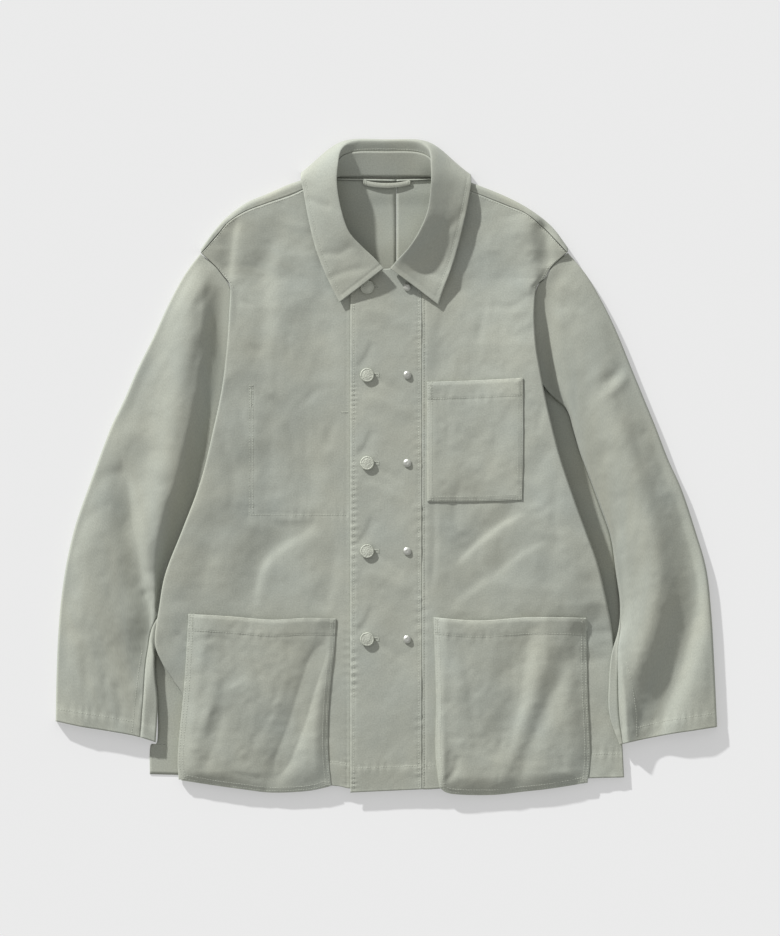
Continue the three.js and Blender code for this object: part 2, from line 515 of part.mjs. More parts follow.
function sleeveGrid(sleeve, places) {
  const outline = {
    bottom: spline(sleeve.head),
    top: spline(sleeve.cuff),
    left: spline(sleeve.rows.map(({ ox, oy }) => [ox, oy])),
    right: spline(sleeve.rows.map(({ ix, iy }) => [ix, iy])),
  };
  const seams = spline(sleeve.rows.map(({ seam }) => [seam, 0]));
  const side = sleeve.lift > 0 ? LEFT_SIDE : RIGHT_SIDE;
  return steps(sleeve.rows.length).map((t) => {
    const width = outline.left.getPoint(t).distanceTo(outline.right.getPoint(t));
    const seam = seams.getPoint(t).x;
    return places.map(({ face, at }) => {
      const s = at(width, seam);
      const p = patch(outline, s, t, 3);
      const distance = Math.min(s, 1 - s) * width;
      const round = Math.sqrt(Math.max(0, 1 - (1 - Math.min(distance / SLEEVE.edge, 1)) ** 2));
      const hidden = smoothstep(insideFold(p.x, p.y), -26, -3);
      const relief = foldsAt(SLEEVE_FOLDS, p.x, p.y) * smoothstep(distance, 2, 16) * (1 - hidden);
      const plain = lerp(SLEEVE.height, SLEEVE.tucked, hidden) * smoothstep(t, -0.9, 0.1);
      const atArmhole = Math.min(plain, readColumn(side, 'top', p.y) - 0.4);
      const height = lerp(atArmhole, plain, smoothstep(t, 0, 0.09)) + relief;
      const onBody = 1 - smoothstep(p.y, -213, -178);
      const overEdge = 1 - smoothstep(-insideFold(p.x, p.y), 3, 24);
      const bottom = sleeve.lift * onBody * overEdge;
      const lifted = height * lerp(1, SLEEVE.edgeLift, onBody * overEdge * Math.sign(sleeve.lift));
      const full = lifted * lerp(SLEEVE.edgeHeight, 1, smoothstep(distance, 0, SLEEVE.crown));
      return new THREE.Vector3(p.x, p.y, bottom + full / 2 + (face * full * round) / 2);
    });
  });
}

const UPPER_SLEEVE = [
  fromOuter(-1, SLEEVE.edge), fromOuter(-1, 2), fromOuter(-1, 0.6), fromOuter(1, 0), fromOuter(1, 0.6),
  fromOuter(1, 2), ...steps(9).map(upperPart),
];
const UNDER_SLEEVE = [
  ...steps(5).reverse().map(seamPart), fromInner(-1, 0.6), fromInner(-1, 2), ...steps(6).map(lowerPart),
];

// A section of the collar as a smooth line through its points
const sectionCurve = (...points) => new THREE.CatmullRomCurve3(points.map((p) => new THREE.Vector3(...p)));

function collarPart(build) {
  const keys = ['neck', 'fold', 'middle', 'edge'];
  const rails = Object.fromEntries(keys.map((key) => [key, sectionCurve(...COLLAR.map((row) => row[key]))]));
  return steps(29).map((t) => build(Object.fromEntries(keys.map((key) => [key, rails[key].getPoint(t)]))));
}

function collarFall() {
  return cloth(collarPart(({ neck, fold, middle, edge }) => {
    const seam = neck.clone().lerp(fold, STAND_SHARE);
    const line = new THREE.CatmullRomCurve3([seam, fold, middle, edge]);
    return steps(8).map((u) => line.getPoint(u)).map((p) => p.setZ(Math.max(p.z, 0)));
  }), { inwards: -1 });
}

function collarStand() {
  return cloth(collarPart(({ neck, fold }) => (
    [0, 0.3, STAND_SHARE - 0.12].map((share) => neck.clone().lerp(fold, share))
  )), { inwards: -1 });
}

// Patches that lie on the body, made from its height and moved out
function pocket({ top, bottom, left, right, stand, columns, rows }) {
  const outline = { top: spline(top), bottom: spline(bottom), left: spline(left), right: spline(right) };
  return cloth(steps(rows).map((v) => steps(columns).map((u) => {
    const p = patch(outline, u, v);
    const sewn = smoothstep(Math.min(u, 1 - u), 0, 0.16) * smoothstep(v, 0, 0.16);
    const off = Math.max(0, (stand + foldsAt(POCKET_FOLDS, p.x, p.y)) * sewn);
    return new THREE.Vector3(p.x, p.y, lappedHeight(p.x, p.y) + LAP + off + WALL - (p.x < 0 ? WALL + LAP : 0));
  })), { straightDown: true });
}

function innerPocket({ top, bottom, left, right }) {
  const outline = { top: spline(top), bottom: spline(bottom), left: spline(left), right: spline(right) };
  return cloth(steps(20).map((v) => steps(15).map((u) => {
    const p = patch(outline, u, v);
    return new THREE.Vector3(p.x, p.y, bodyHeight(p.x, p.y) - WALL - 2 * LAP);
  })), { straightDown: true });
}

function placket() {
  const across = steps(5);
  return cloth(steps(24).map((v) => across.map((u) => {
    const x = lerp(PLACKET.left, PLACKET.right, u);
    const top = PLACKET.top - 7 * (1 - smoothstep(x, -43, 0)) + 18 * smoothstep(x, 0, 44);
    const y = lerp(lerp(PLACKET.hem, PLACKET.hem + 4, u), top, v);
    return new THREE.Vector3(x, y, bodyHeight(x, y) + LAP + WALL);
  })), { straightDown: true });
}

function hangerLoop() {
  const band = 6;
  return cloth([-0.5, 0.5].map((v) => steps(11).map((u) => {
    const x = lerp(-28, 30, u);
    const sag = 4 * u * (1 - u);
    return new THREE.Vector3(x, 348.5 - 4 * sag + v * band, 2 * WALL + 2 * LAP + 1.2 * sag + 3.2);
  })), { straightDown: true });
}

// A turned disc that lies on the placket, standing on the highest point under it
function turned(profile, x, y, segments) {
  const points = profile.map(([r, z]) => new THREE.Vector2(r, z));
  const geometry = new THREE.LatheGeometry(points, segments).rotateX(Math.PI / 2);
  const radius = Math.max(...profile.map(([r]) => r));
  const under = steps(9).map((t) => {
    const angle = 2 * Math.PI * t;
    return bodyHeight(x + radius * Math.cos(angle), y + radius * Math.sin(angle));
  });
  geometry.translate(x, y, Math.max(...under) + LAP + WALL + SEAM);
  return geometry;
}

const buttonProfile = [
  [0, 0], [BUTTON.radius * 0.86, 0], [BUTTON.radius, BUTTON.height * 0.45], [BUTTON.radius * 0.94, BUTTON.height],
  [BUTTON.radius * 0.78, BUTTON.height * 0.86], [0, BUTTON.height * 0.8],
];
const studProfile = [
  [0, 0], [STUD.radius, 0], [STUD.radius * 0.96, STUD.height * 0.35], [STUD.radius * 0.6, STUD.height * 0.86],
  [0, STUD.height],
];

const jacket = new THREE.Group();
jacket.name = 'chore_jacket';
jacket.position.set(-PLAN_CENTRE.x, -PLAN_CENTRE.y, 0);

function add(name, geometry, finish = TWILL) {
  const mesh = new THREE.Mesh(geometry, new THREE.MeshStandardMaterial(finish));
  mesh.name = name;
  jacket.add(mesh);
}

const RIGHT_HEM = [[UNDERLAP, -390], [-41, -391], [-59, -388], [-110, -384], [-180, -380], [-249, -380]];
const LEFT_HEM = [[43.9, -392], [60, -391.6], [120, -386], [190, -381], [250, -378.5], [288, -377.5]];
const RIGHT_BACK_HEM = [[CENTRE_BACK - SEAM / 2, -382], [-120, -378], [-288, -373.5]];
const LEFT_BACK_HEM = [[CENTRE_BACK + SEAM / 2, -382], [150, -377], [288, -373]];
const RIGHT_BACK_CORNER = [[-288, -373.5], [-287.5, -339], [-279, -333]];
const LEFT_BACK_CORNER = [[289, -373], [288, -332], [286, -283], [284, -234], [284, -212], [286, -198]];

add('back_right', back(RIGHT_SIDE, SHOULDERS.right, RIGHT_SLEEVE, RIGHT_BACK_HEM, RIGHT_BACK_CORNER));
add('back_left', back(LEFT_SIDE, SHOULDERS.left, LEFT_SLEEVE, LEFT_BACK_HEM, LEFT_BACK_CORNER));
add('front_right', front(RIGHT_SIDE, SHOULDERS.right, bodyHeight, RIGHT_HEM));
add('front_left', front(LEFT_SIDE, SHOULDERS.left, lappedHeight, LEFT_HEM));
add('placket', placket());
for (const [name, sleeve] of [['sleeve_right', RIGHT_SLEEVE], ['sleeve_left', LEFT_SLEEVE]]) {
  const inwards = name === 'sleeve_right' ? -1 : 1;
  add(`${name}_upper`, cloth(sleeveGrid(sleeve, UPPER_SLEEVE), { inwards }));
  add(`${name}_under`, cloth(sleeveGrid(sleeve, UNDER_SLEEVE), { inwards }));
}
add('collar_stand', collarStand());
add('collar_fall', collarFall());
for (const [name, shape] of Object.entries(POCKETS)) add(name, pocket(shape));
add('inner_pocket', innerPocket(INNER_POCKET));
add('hanger_loop', hangerLoop());
for (let i = 0; i < BUTTON.count; i += 1) {
  const y = BUTTON.first - i * BUTTON.pitch;
  add(`button_${i + 1}`, turned(buttonProfile, BUTTON.x, y, 14), HORN);
  add(`stud_${i + 1}`, turned(studProfile, STUD.x, y, 12), METAL);
}

export default jacket;
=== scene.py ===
# %% [markdown]
# # A chore jacket, laid out flat
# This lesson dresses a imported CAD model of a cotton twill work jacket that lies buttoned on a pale
# floor and is seen straight from above. The CAD gives every panel its place. Here each panel is
# made again as fine cloth: the same outline and height, with creases, hems, seams and stitches.
# The plan is written in millimetres and turned into Blender's metres where a mesh is made.

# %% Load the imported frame
import math

import bmesh
import bpy
import numpy as np
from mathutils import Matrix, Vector
from mathutils.bvhtree import BVHTree


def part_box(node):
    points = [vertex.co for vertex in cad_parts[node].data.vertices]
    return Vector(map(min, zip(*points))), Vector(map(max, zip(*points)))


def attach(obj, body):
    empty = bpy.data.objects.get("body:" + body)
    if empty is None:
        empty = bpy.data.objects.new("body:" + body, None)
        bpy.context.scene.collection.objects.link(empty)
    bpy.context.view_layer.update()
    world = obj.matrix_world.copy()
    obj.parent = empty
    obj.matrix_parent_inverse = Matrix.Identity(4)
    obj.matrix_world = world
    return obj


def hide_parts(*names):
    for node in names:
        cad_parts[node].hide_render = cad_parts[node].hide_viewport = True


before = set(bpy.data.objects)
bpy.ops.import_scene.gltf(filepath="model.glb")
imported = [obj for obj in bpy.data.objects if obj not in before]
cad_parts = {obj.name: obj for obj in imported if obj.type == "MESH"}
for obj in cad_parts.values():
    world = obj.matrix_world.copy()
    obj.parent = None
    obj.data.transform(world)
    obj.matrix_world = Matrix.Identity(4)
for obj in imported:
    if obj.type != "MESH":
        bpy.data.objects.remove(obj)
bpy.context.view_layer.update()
MM = 0.001
PLAN_CENTRE = np.array([0.5, 1.15, 0.0])  # middle of the plan, which the frame puts at its origin
SCENE = bpy.context.scene
print("CAD nodes:", len(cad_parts))

# %% [markdown]
# ## Camera and light
# The jacket was photographed straight from above with a long lens, so an orthographic camera
# matches it: nothing gets smaller with its distance. Its long side is the picture's height.
# One hard lamp stands low at the upper left and makes crisp, short shadows. The rest of the light
# is even, and comes from the world. A sun lamp with a small angle gives such a shadow's edge.

# %% Camera
MM_PER_PIXEL = 1.22
PICTURE = (780, 936)
VIEW_CENTRE = (4.4, -1.15)  # where the picture's middle falls on the plan

camera_data = bpy.data.cameras.new("camera")
camera_data.type = "ORTHO"
camera_data.ortho_scale = PICTURE[1] * MM_PER_PIXEL * MM
camera_data.clip_end = 10
camera = bpy.data.objects.new("camera", camera_data)
camera.location = (VIEW_CENTRE[0] * MM, VIEW_CENTRE[1] * MM, 2.5)
SCENE.collection.objects.link(camera)
SCENE.camera = camera
print("view height in metres:", round(camera_data.ortho_scale, 3))

# %% Light and colour
KEY_ELEVATION = math.radians(20)
KEY_PLAN = (-0.58, 0.815)  # where the lamp stands, seen from above
KEY_STRENGTH = 4.3
FILL_STRENGTH = 0.47

key_data = bpy.data.lights.new("key", "SUN")
key_data.energy = KEY_STRENGTH
key_data.angle = math.radians(2.2)
key = bpy.data.objects.new("key", key_data)
level = math.cos(KEY_ELEVATION)
towards_lamp = Vector((KEY_PLAN[0] * level, KEY_PLAN[1] * level, math.sin(KEY_ELEVATION)))
key.rotation_euler = towards_lamp.to_track_quat("Z", "Y").to_euler()
SCENE.collection.objects.link(key)

world = bpy.data.worlds.new("studio")
world.use_nodes = True
background = world.node_tree.nodes["Background"]
background.inputs["Color"].default_value = (1, 1, 1, 1)
background.inputs["Strength"].default_value = FILL_STRENGTH
SCENE.world = world
SCENE.view_settings.view_transform = "Standard"
print("key lamp at", round(math.degrees(KEY_ELEVATION)), "degrees")

# %% [markdown]
# ## Floor
# The floor is a large sheet of pale paper. In the photograph its shadows are much lighter than the
# ones on the cloth, so its material mixes a little light of its own with a plain matte surface.

# %% Floor
FLOOR_SIZE = 6.0
FLOOR_GREY = 0.52
FLOOR_GLOW = 0.34


def link(tree, start, end):
    tree.links.new(start, end)


def make_floor():
    mesh = bmesh.new()
    bmesh.ops.create_grid(mesh, x_segments=1, y_segments=1, size=FLOOR_SIZE / 2)
    data = bpy.data.meshes.new("floor")
    mesh.to_mesh(data)
    mesh.free()
    material = bpy.data.materials.new("paper")
    material.use_nodes = True
    surface = material.node_tree.nodes["Principled BSDF"]
    surface.inputs["Base Color"].default_value = (FLOOR_GREY, FLOOR_GREY, FLOOR_GREY, 1)
    surface.inputs["Roughness"].default_value = 1
    surface.inputs["Specular IOR Level"].default_value = 0
    surface.inputs["Emission Color"].default_value = (1, 1, 1, 1)
    surface.inputs["Emission Strength"].default_value = FLOOR_GLOW
    data.materials.append(material)
    floor = bpy.data.objects.new("floor", data)
    SCENE.collection.objects.link(floor)
    return floor


floor = make_floor()
print("floor:", FLOOR_SIZE, "m wide")

# %% [markdown]
# ## Twill
# The cloth is a dense cotton twill, washed until it is soft: pale grey-green, quite matte, with
# fine diagonal ribs and small flecks where a yarn is thicker. The pattern has to follow the cloth
# round its folds, so it reads each panel's UV map, which is laid out in metres of real cloth.
# Where seams and edges have rubbed, the dye is paler. Each panel carries that as an attribute
# called worn, so one material serves all of them.

# %% Twill material
CLOTH_COLOUR = (0.385, 0.402, 0.346)
RIB_PITCH = 1.1 * MM


def node(tree, kind, **settings):
    made = tree.nodes.new(kind)
    for name, value in settings.items():
        if name in made.inputs:
            made.inputs[name].default_value = value
        else:
            setattr(made, name, value)
    return made


def noise(tree, coordinates, scale, detail=2.0):
    made = node(tree, "ShaderNodeTexNoise", Scale=scale, Detail=detail)
    link(tree, coordinates, made.inputs["Vector"])
    return made.outputs["Fac"]


def stretched(tree, value, low, high):
    made = node(tree, "ShaderNodeMapRange", **{"To Min": low, "To Max": high})
    made.inputs["From Min"].default_value = 0.3
    made.inputs["From Max"].default_value = 0.7
    link(tree, value, made.inputs["Value"])
    return made.outputs["Result"]


def multiplied(tree, first, second):
    made = node(tree, "ShaderNodeMath", operation="MULTIPLY")
    link(tree, first, made.inputs[0])
    link(tree, second, made.inputs[1])
    return made.outputs["Value"]


def twill(name, colour, rib_depth=0.06 * MM):
    material = bpy.data.materials.new(name)
    material.use_nodes = True
    tree = material.node_tree
    surface = tree.nodes["Principled BSDF"]
    surface.inputs["Roughness"].default_value = 0.88
    surface.inputs["Specular IOR Level"].default_value = 0.25
    surface.inputs["Sheen Weight"].default_value = 0.12
    surface.inputs["Sheen Roughness"].default_value = 0.5
    cloth_map = node(tree, "ShaderNodeUVMap", uv_map="cloth").outputs["UV"]
    clouds = stretched(tree, noise(tree, cloth_map, 16, 4), 0.95, 1.05)
    flecks = stretched(tree, noise(tree, cloth_map, 560, 3), 0.9, 1.1)
    worn = node(tree, "ShaderNodeAttribute", attribute_name="worn").outputs["Fac"]
    patchy = stretched(tree, noise(tree, cloth_map, 130, 3), 0.25, 1.2)
    rubbed = node(tree, "ShaderNodeMath", operation="MULTIPLY_ADD")
    link(tree, multiplied(tree, worn, patchy), rubbed.inputs[0])
    rubbed.inputs[1].default_value = 0.22
    rubbed.inputs[2].default_value = 1
    shade = multiplied(tree, multiplied(tree, clouds, flecks), rubbed.outputs["Value"])
    tint = node(tree, "ShaderNodeVectorMath", operation="SCALE")
    dye = node(tree, "ShaderNodeMix", data_type="RGBA")
    link(tree, stretched(tree, noise(tree, cloth_map, 9, 3), 0, 1), dye.inputs["Factor"])
    dye.inputs["A"].default_value = (colour[0] * 1.02, colour[1], colour[2] * 0.97, 1)
    dye.inputs["B"].default_value = (colour[0] * 0.98, colour[1], colour[2] * 1.03, 1)
    link(tree, dye.outputs["Result"], tint.inputs[0])
    link(tree, shade, tint.inputs["Scale"])
    link(tree, tint.outputs["Vector"], surface.inputs["Base Color"])
    turned = node(tree, "ShaderNodeMapping", Rotation=(0, 0, math.radians(60)))
    link(tree, cloth_map, turned.inputs["Vector"])
    ribs = node(tree, "ShaderNodeTexWave", Scale=2 * math.pi / RIB_PITCH / 20, Distortion=1.2, Detail=2)
    link(tree, turned.outputs["Vector"], ribs.inputs["Vector"])
    relief = node(tree, "ShaderNodeMath", operation="ADD")
    link(tree, ribs.outputs["Fac"], relief.inputs[0])
    link(tree, noise(tree, cloth_map, 260, 3), relief.inputs[1])
    bump = node(tree, "ShaderNodeBump", Distance=rib_depth, Strength=0.8)
    link(tree, relief.outputs["Value"], bump.inputs["Height"])
    link(tree, bump.outputs["Normal"], surface.inputs["Normal"])
    return material


TWILL = twill("cotton_twill", CLOTH_COLOUR)
print("twill ribs every", round(RIB_PITCH / MM, 2), "mm")

# %% [markdown]
# ## Lines, patches and folds
# Every panel is a patch: a surface that follows four edges. Its edges are smooth lines through a
# few points. Over that plan comes a height, which grows from the body's middle to its side, and
# the folds, each a short path with a height and a width. They follow the CAD's numbers closely, so
# the fine cloth lies where the solid is.

# %% Smooth lines and patches
WALL = 1.5
SEAM = 0.3
LAP = 0.6
ROLL = 1.4
SHOULDER_ROLL = 6


def smoothstep(value, low, high):
    share = np.clip((np.asarray(value, float) - low) / (high - low), 0, 1)
    return share * share * (3 - 2 * share)


def mix(start, end, share):
    return start + (end - start) * share


def curve(points, t):
    """A smooth line through points, read at t from 0 to 1."""
    points = np.asarray(points, float)
    last = len(points) - 1
    place = np.clip(np.asarray(t, float), 0, 1) * last
    low = np.minimum(place.astype(int), last - 1)
    share = (place - low)[..., None]
    before, start = points[np.maximum(low - 1, 0)], points[low]
    end, after = points[low + 1], points[np.minimum(low + 2, last)]
    leave, arrive = (end - before) / 2, (after - start) / 2
    cubic = 2 * start - 2 * end + leave + arrive
    square = -3 * start + 3 * end - 2 * leave - arrive
    return ((cubic * share + square) * share + leave) * share + start


def patch(edges, u, v, hold=1):
    """Points of a surface that follows four edges. hold keeps the ends' shapes near the ends."""
    corners = {key: curve(edges[key], np.array([0.0, 1.0])) for key in ("bottom", "top")}
    across = mix(curve(edges["left"], v), curve(edges["right"], v), u[..., None])
    for key, weight in (("bottom", (1 - v) ** hold), ("top", v**hold)):
        straight = mix(corners[key][0], corners[key][1], u[..., None])
        across = across + weight[..., None] * (curve(edges[key], u) - straight)
    return across


def even(count):
    return np.linspace(0, 1, count)


print("wall", WALL, "mm, seam", SEAM, "mm")

# %% Distance to a path, folds and small unevenness
def near_path(path, x, y):
    """Distance to a path, less than 0 on its right, and the share of its length at the nearest place."""
    path = np.asarray(path, float)
    best, along = np.full(np.shape(x), np.inf), np.zeros(np.shape(x))
    for i in range(len(path) - 1):
        step = path[i + 1] - path[i]
        t = np.clip(((x - path[i, 0]) * step[0] + (y - path[i, 1]) * step[1]) / (step @ step), 0, 1)
        dx, dy = x - path[i, 0] - t * step[0], y - path[i, 1] - t * step[1]
        distance = np.hypot(dx, dy)
        closer = distance < np.abs(best)
        best = np.where(closer, np.where(step[0] * dy - step[1] * dx > 0, distance, -distance), best)
        along = np.where(closer, (i + t) / (len(path) - 1), along)
    return best, along


def folds_at(folds, x, y):
    """Height added by folds. Each has its rise, its widths left and right of its path, and the path."""
    total = np.zeros(np.shape(x))
    for rise, left, right, path in folds:
        distance, along = near_path(curve(path, even(3 * len(path))), x, y)
        fade = smoothstep(along, -0.08, 0.25) * (1 - smoothstep(along, 0.75, 1.08))
        width = np.where(distance > 0, left, right)
        total = total + rise * fade * np.exp(-((distance / width) ** 2))
    return total


LATTICE = 128


def unevenness(x, y, size, seed):
    """Soft random hills of about one unit, with the given size in mm."""
    heights = np.random.default_rng(seed).standard_normal((LATTICE, LATTICE))
    gx, gy = np.asarray(x) / size, np.asarray(y) / size
    ix, iy = np.floor(gx).astype(int), np.floor(gy).astype(int)
    fx, fy = gx - ix, gy - iy
    fx, fy = fx * fx * (3 - 2 * fx), fy * fy * (3 - 2 * fy)

    def at(i, j):
        return heights[(ix + i) % LATTICE, (iy + j) % LATTICE]

    return mix(mix(at(0, 0), at(1, 0), fx), mix(at(0, 1), at(1, 1), fx), fy)


def washed(x, y, seed):
    """What washing leaves on a flat piece of cloth, in mm."""
    broad = 0.55 * unevenness(x, y, 44, seed)
    return broad + 0.28 * unevenness(x, y, 18, seed + 1) + 0.12 * unevenness(x, y, 7, seed + 2)


print("lattice", LATTICE)

# %% [markdown]
# ## The body's shape
# The two fronts lie on the back. Their side edges are folded under, and stand highest at the
# armpits, where the sleeves are tucked in. A table for each side says, level by level, where the
# fold is, how high the cloth is there, how high the part turned under it is and where that ends,
# and where the front's centre edge is. The last four rows of each run along the armhole.

# %% Tables of the sides
SIDE_COLUMNS = ("y", "fold", "top", "under", "tuck", "cx", "cy")


def table(columns, rows):
    return dict(zip(columns, np.array(rows, float).T))


MIDDLE = table(("y", "z"), [
    (-400, 7.6), (-372, 9.6), (-300, 12.6), (-200, 14), (0, 15), (150, 14.5), (250, 13.4),
    (300, 12.6), (355, 12),
])
RIGHT_SIDE = table(SIDE_COLUMNS, [
    (-380, -253, 8, 2, -236, 8, -390), (-351, -254, 10.5, 2, -234, 8, -357),
    (-315, -248, 12.5, 2, -228, 8, -319),
    (-283, -246, 14, 2, -226, 8, -285), (-259, -260, 16, 4, -236, 8, -260),
    (-238, -273, 18.5, 11, -247, 8, -238),
    (-212, -282, 20.5, 13, -250, 8, -211), (-171, -277, 22, 13, -243, 8, -170),
    (-128, -269, 22.5, 13, -230, 8, -127),
    (-74, -248, 23, 13, -211, 8, -72), (-15, -226, 23.5, 13, -191, 8, -13),
    (46, -211, 23.5, 13, -169, 8, 50),
    (99, -200, 23, 13, -157, 8, 104), (150, -194, 22, 13, -158, 8, 157),
    (196, -191, 18.5, 12.4, -166, 8, 205),
    (222, -190.5, 13.5, 9.4, -183, 4, 236), (235, -199, 11.4, 8, -194, -30, 262),
    (247, -209, 10.4, 7, -204, -52, 296), (262, -225.5, 9.6, 6.2, -221, -72, 351),
])
LEFT_SIDE = table(SIDE_COLUMNS, [
    (-377.5, 290.5, 6.4, 2, 270, 43.9, -392), (-332, 288, 6.4, 2, 268, 43.9, -338),
    (-283, 284, 6.4, 2, 264, 43.9, -286), (-234, 279, 6.4, 2, 259, 43.9, -235),
    (-199, 276, 9, 2, 256, 43.9, -199),
    (-166, 270, 19, 2, 250, 43.9, -165), (-119, 259, 25, 2, 239, 43.9, -118),
    (-82, 246, 27.5, 2, 226, 43.9, -80),
    (-44, 232, 28.5, 2, 212, 43.9, -42), (9, 214, 29, 2, 194, 43.9, 12), (50, 203, 29, 3.5, 180, 43.9, 54),
    (84, 195, 28.5, 11.5, 168, 43.9, 90), (120, 188, 27.5, 13, 156, 43.9, 127),
    (151, 183, 26, 13, 150, 43.9, 160),
    (190, 181, 21.5, 12.4, 156, 43.9, 212), (221, 184, 14.5, 9.4, 177, 43.9, 262),
    (232, 194, 11.6, 8.2, 189, 52, 283),
    (246, 202.5, 10.6, 7.2, 198, 64, 316), (263, 221, 9.6, 6.2, 216.5, 74, 350),
])
SIDE_RISE = 120  # how far in from the fold the body starts to rise towards it
print("levels on each side:", len(RIGHT_SIDE["y"]))

# %% [markdown]
# ## Folds of the body
# The first table holds the large folds, as in the CAD. The second has small ones that show close up:
# short creases that run out from the armholes, and faint drags between the buttons.

# %% Folds of the body
BODY_FOLDS = [
    (-3.2, 6, 15, [(-184, 306), (-190, 268), (-193, 228)]),
    (-3.6, 14, 22, [(-124, 300), (-149, 252), (-151, 180), (-156, 116)]),
    (-1.4, 20, 14, [(-112, 296), (-116, 262), (-112, 214)]),
    (-1.6, 26, 22, [(-100, 206), (-84, 150), (-70, 100)]),
    (-1.4, 12, 16, [(-142, 70), (-144, 0), (-140, -40)]),
    (-1.1, 12, 14, [(-100, 60), (-98, 0), (-94, -44)]),
    (-3, 7, 18, [(-84, -62), (-104, -78), (-128, -92), (-150, -112), (-160, -142), (-164, -178)]),
    (-1.1, 9, 16, [(-52, -80), (-66, -120), (-76, -176)]),
    (-1.6, 14, 20, [(-206, -40), (-220, -110), (-234, -178)]),
    (4.6, 13, 26, [(168, 312), (177, 278), (179, 244), (180, 210)]),
    (-3.2, 8, 13, [(190, 302), (195, 276), (197, 244)]),
    (-1.2, 18, 12, [(80, 236), (68, 176), (60, 112)]),
    (-1.3, 10, 14, [(200, 30), (186, 4), (174, -20)]),
    (-2.4, 5, 15, [(170, -50), (140, -66), (112, -88), (82, -116)]),
    (-1.4, 6, 16, [(196, -84), (160, -104), (124, -134)]),
    (-1.3, 7, 14, [(126, -128), (98, -148), (74, -172)]),
    (-1.5, 5, 9, [(56, -30), (58, -90), (54, -150)]),
    (-1.4, 14, 16, [(204, -80), (200, -150)]),
    (-1.6, 10, 16, [(244, -126), (262, -196)]),
]
SMALL_BODY_FOLDS = [
    (-0.9, 4, 7, [(-200, 228), (-180, 206), (-160, 196)]),
    (-0.7, 4, 6, [(-188, 176), (-168, 150), (-150, 140)]),
    (-0.7, 6, 6, [(-196, 110), (-178, 70), (-172, 30)]),
    (-0.6, 8, 6, [(-64, 300), (-80, 250), (-74, 200)]),
    (-0.8, 6, 4, [(176, 210), (150, 196), (128, 200)]),
    (0.6, 5, 5, [(178, 180), (158, 168)]),
    (-0.7, 7, 6, [(192, 80), (184, 40)]),
    (-0.7, 6, 6, [(212, 0), (206, -60), (214, -120)]),
    (-0.6, 6, 7, [(-212, 60), (-190, 10), (-186, -40)]),
    (-0.6, 6, 6, [(92, -10), (84, -60), (96, -90)]),
    (-0.6, 7, 6, [(-150, 90), (-120, 60), (-110, 10)]),
    (-0.5, 5, 7, [(-60, 60), (-74, 20)]),
    (-0.7, 5, 5, [(-256, -200), (-240, -216)]),
    (-0.6, 6, 5, [(120, 200), (112, 150)]),
    (-0.7, 4, 5, [(-150, -62), (-120, -70), (-92, -66)]),
    (-0.6, 4, 6, [(-60, 100), (-84, 94), (-100, 80)]),
    (-0.5, 5, 4, [(58, 98), (52, 50), (57, 0)]),
    (-0.6, 4, 5, [(206, -40), (190, -52), (170, -58)]),
]


def inside_fold(x, y):
    right = x - np.interp(y, RIGHT_SIDE["y"], RIGHT_SIDE["fold"])
    left = np.interp(y, LEFT_SIDE["y"], LEFT_SIDE["fold"]) - x
    return np.where(x < 0, right, left)


def body_height(x, y):
    """Height of the fronts' upper face before the left one laps over the right."""
    middle = np.interp(y, MIDDLE["y"], MIDDLE["z"])
    result = np.zeros(np.shape(x))
    for side, here in ((RIGHT_SIDE, x < 0), (LEFT_SIDE, x >= 0)):
        armhole = side["y"][-4]
        shoulder = 1 - smoothstep(y, armhole, armhole + 75)
        nearness = (1 - smoothstep(inside_fold(x, y), 4, SIDE_RISE)) * np.maximum(shoulder, 0.35)
        result = np.where(here, mix(middle, np.interp(y, side["y"], side["top"]), nearness), result)
    calm = smoothstep(np.abs(x), 44, 70) * smoothstep(inside_fold(x, y), -4, 10)
    small = folds_at(SMALL_BODY_FOLDS, x, y) + washed(x, y, 11)
    return result + (folds_at(BODY_FOLDS, x, y) + small) * calm


def lapped_height(x, y):
    lift = np.where(x < 0, 1, 1 - smoothstep(x, 50, 120))
    return body_height(x, y) + (WALL + LAP) * lift


print("height at the middle:", round(float(body_height(np.array(0.0), np.array(0.0))), 1), "mm")

# %% [markdown]
# ## From a grid of points to a panel of cloth
# A panel starts as Blender's own grid. Each vertex finds its column and row from where the grid
# put it, and moves to the panel's point. Solidify then gives the cloth its thickness on the side
# that doesn't show, so the outer face stays on the CAD's. The UV map is measured along the rows
# and columns, which keeps the twill at its real size on every panel.

# %% Cloth panel
SHELL = 1.2  # thickness of the cloth, a little under the solid's wall
cloth_pieces = {}
cloth_grids = {}


def lengths_along(grid, axis):
    """Distance walked along the grid, from its first row or column."""
    step = np.linalg.norm(np.diff(grid, axis=axis), axis=2)
    walked = np.cumsum(step, axis=axis)
    return np.concatenate([np.zeros_like(np.take(walked, [0], axis)), walked], axis)


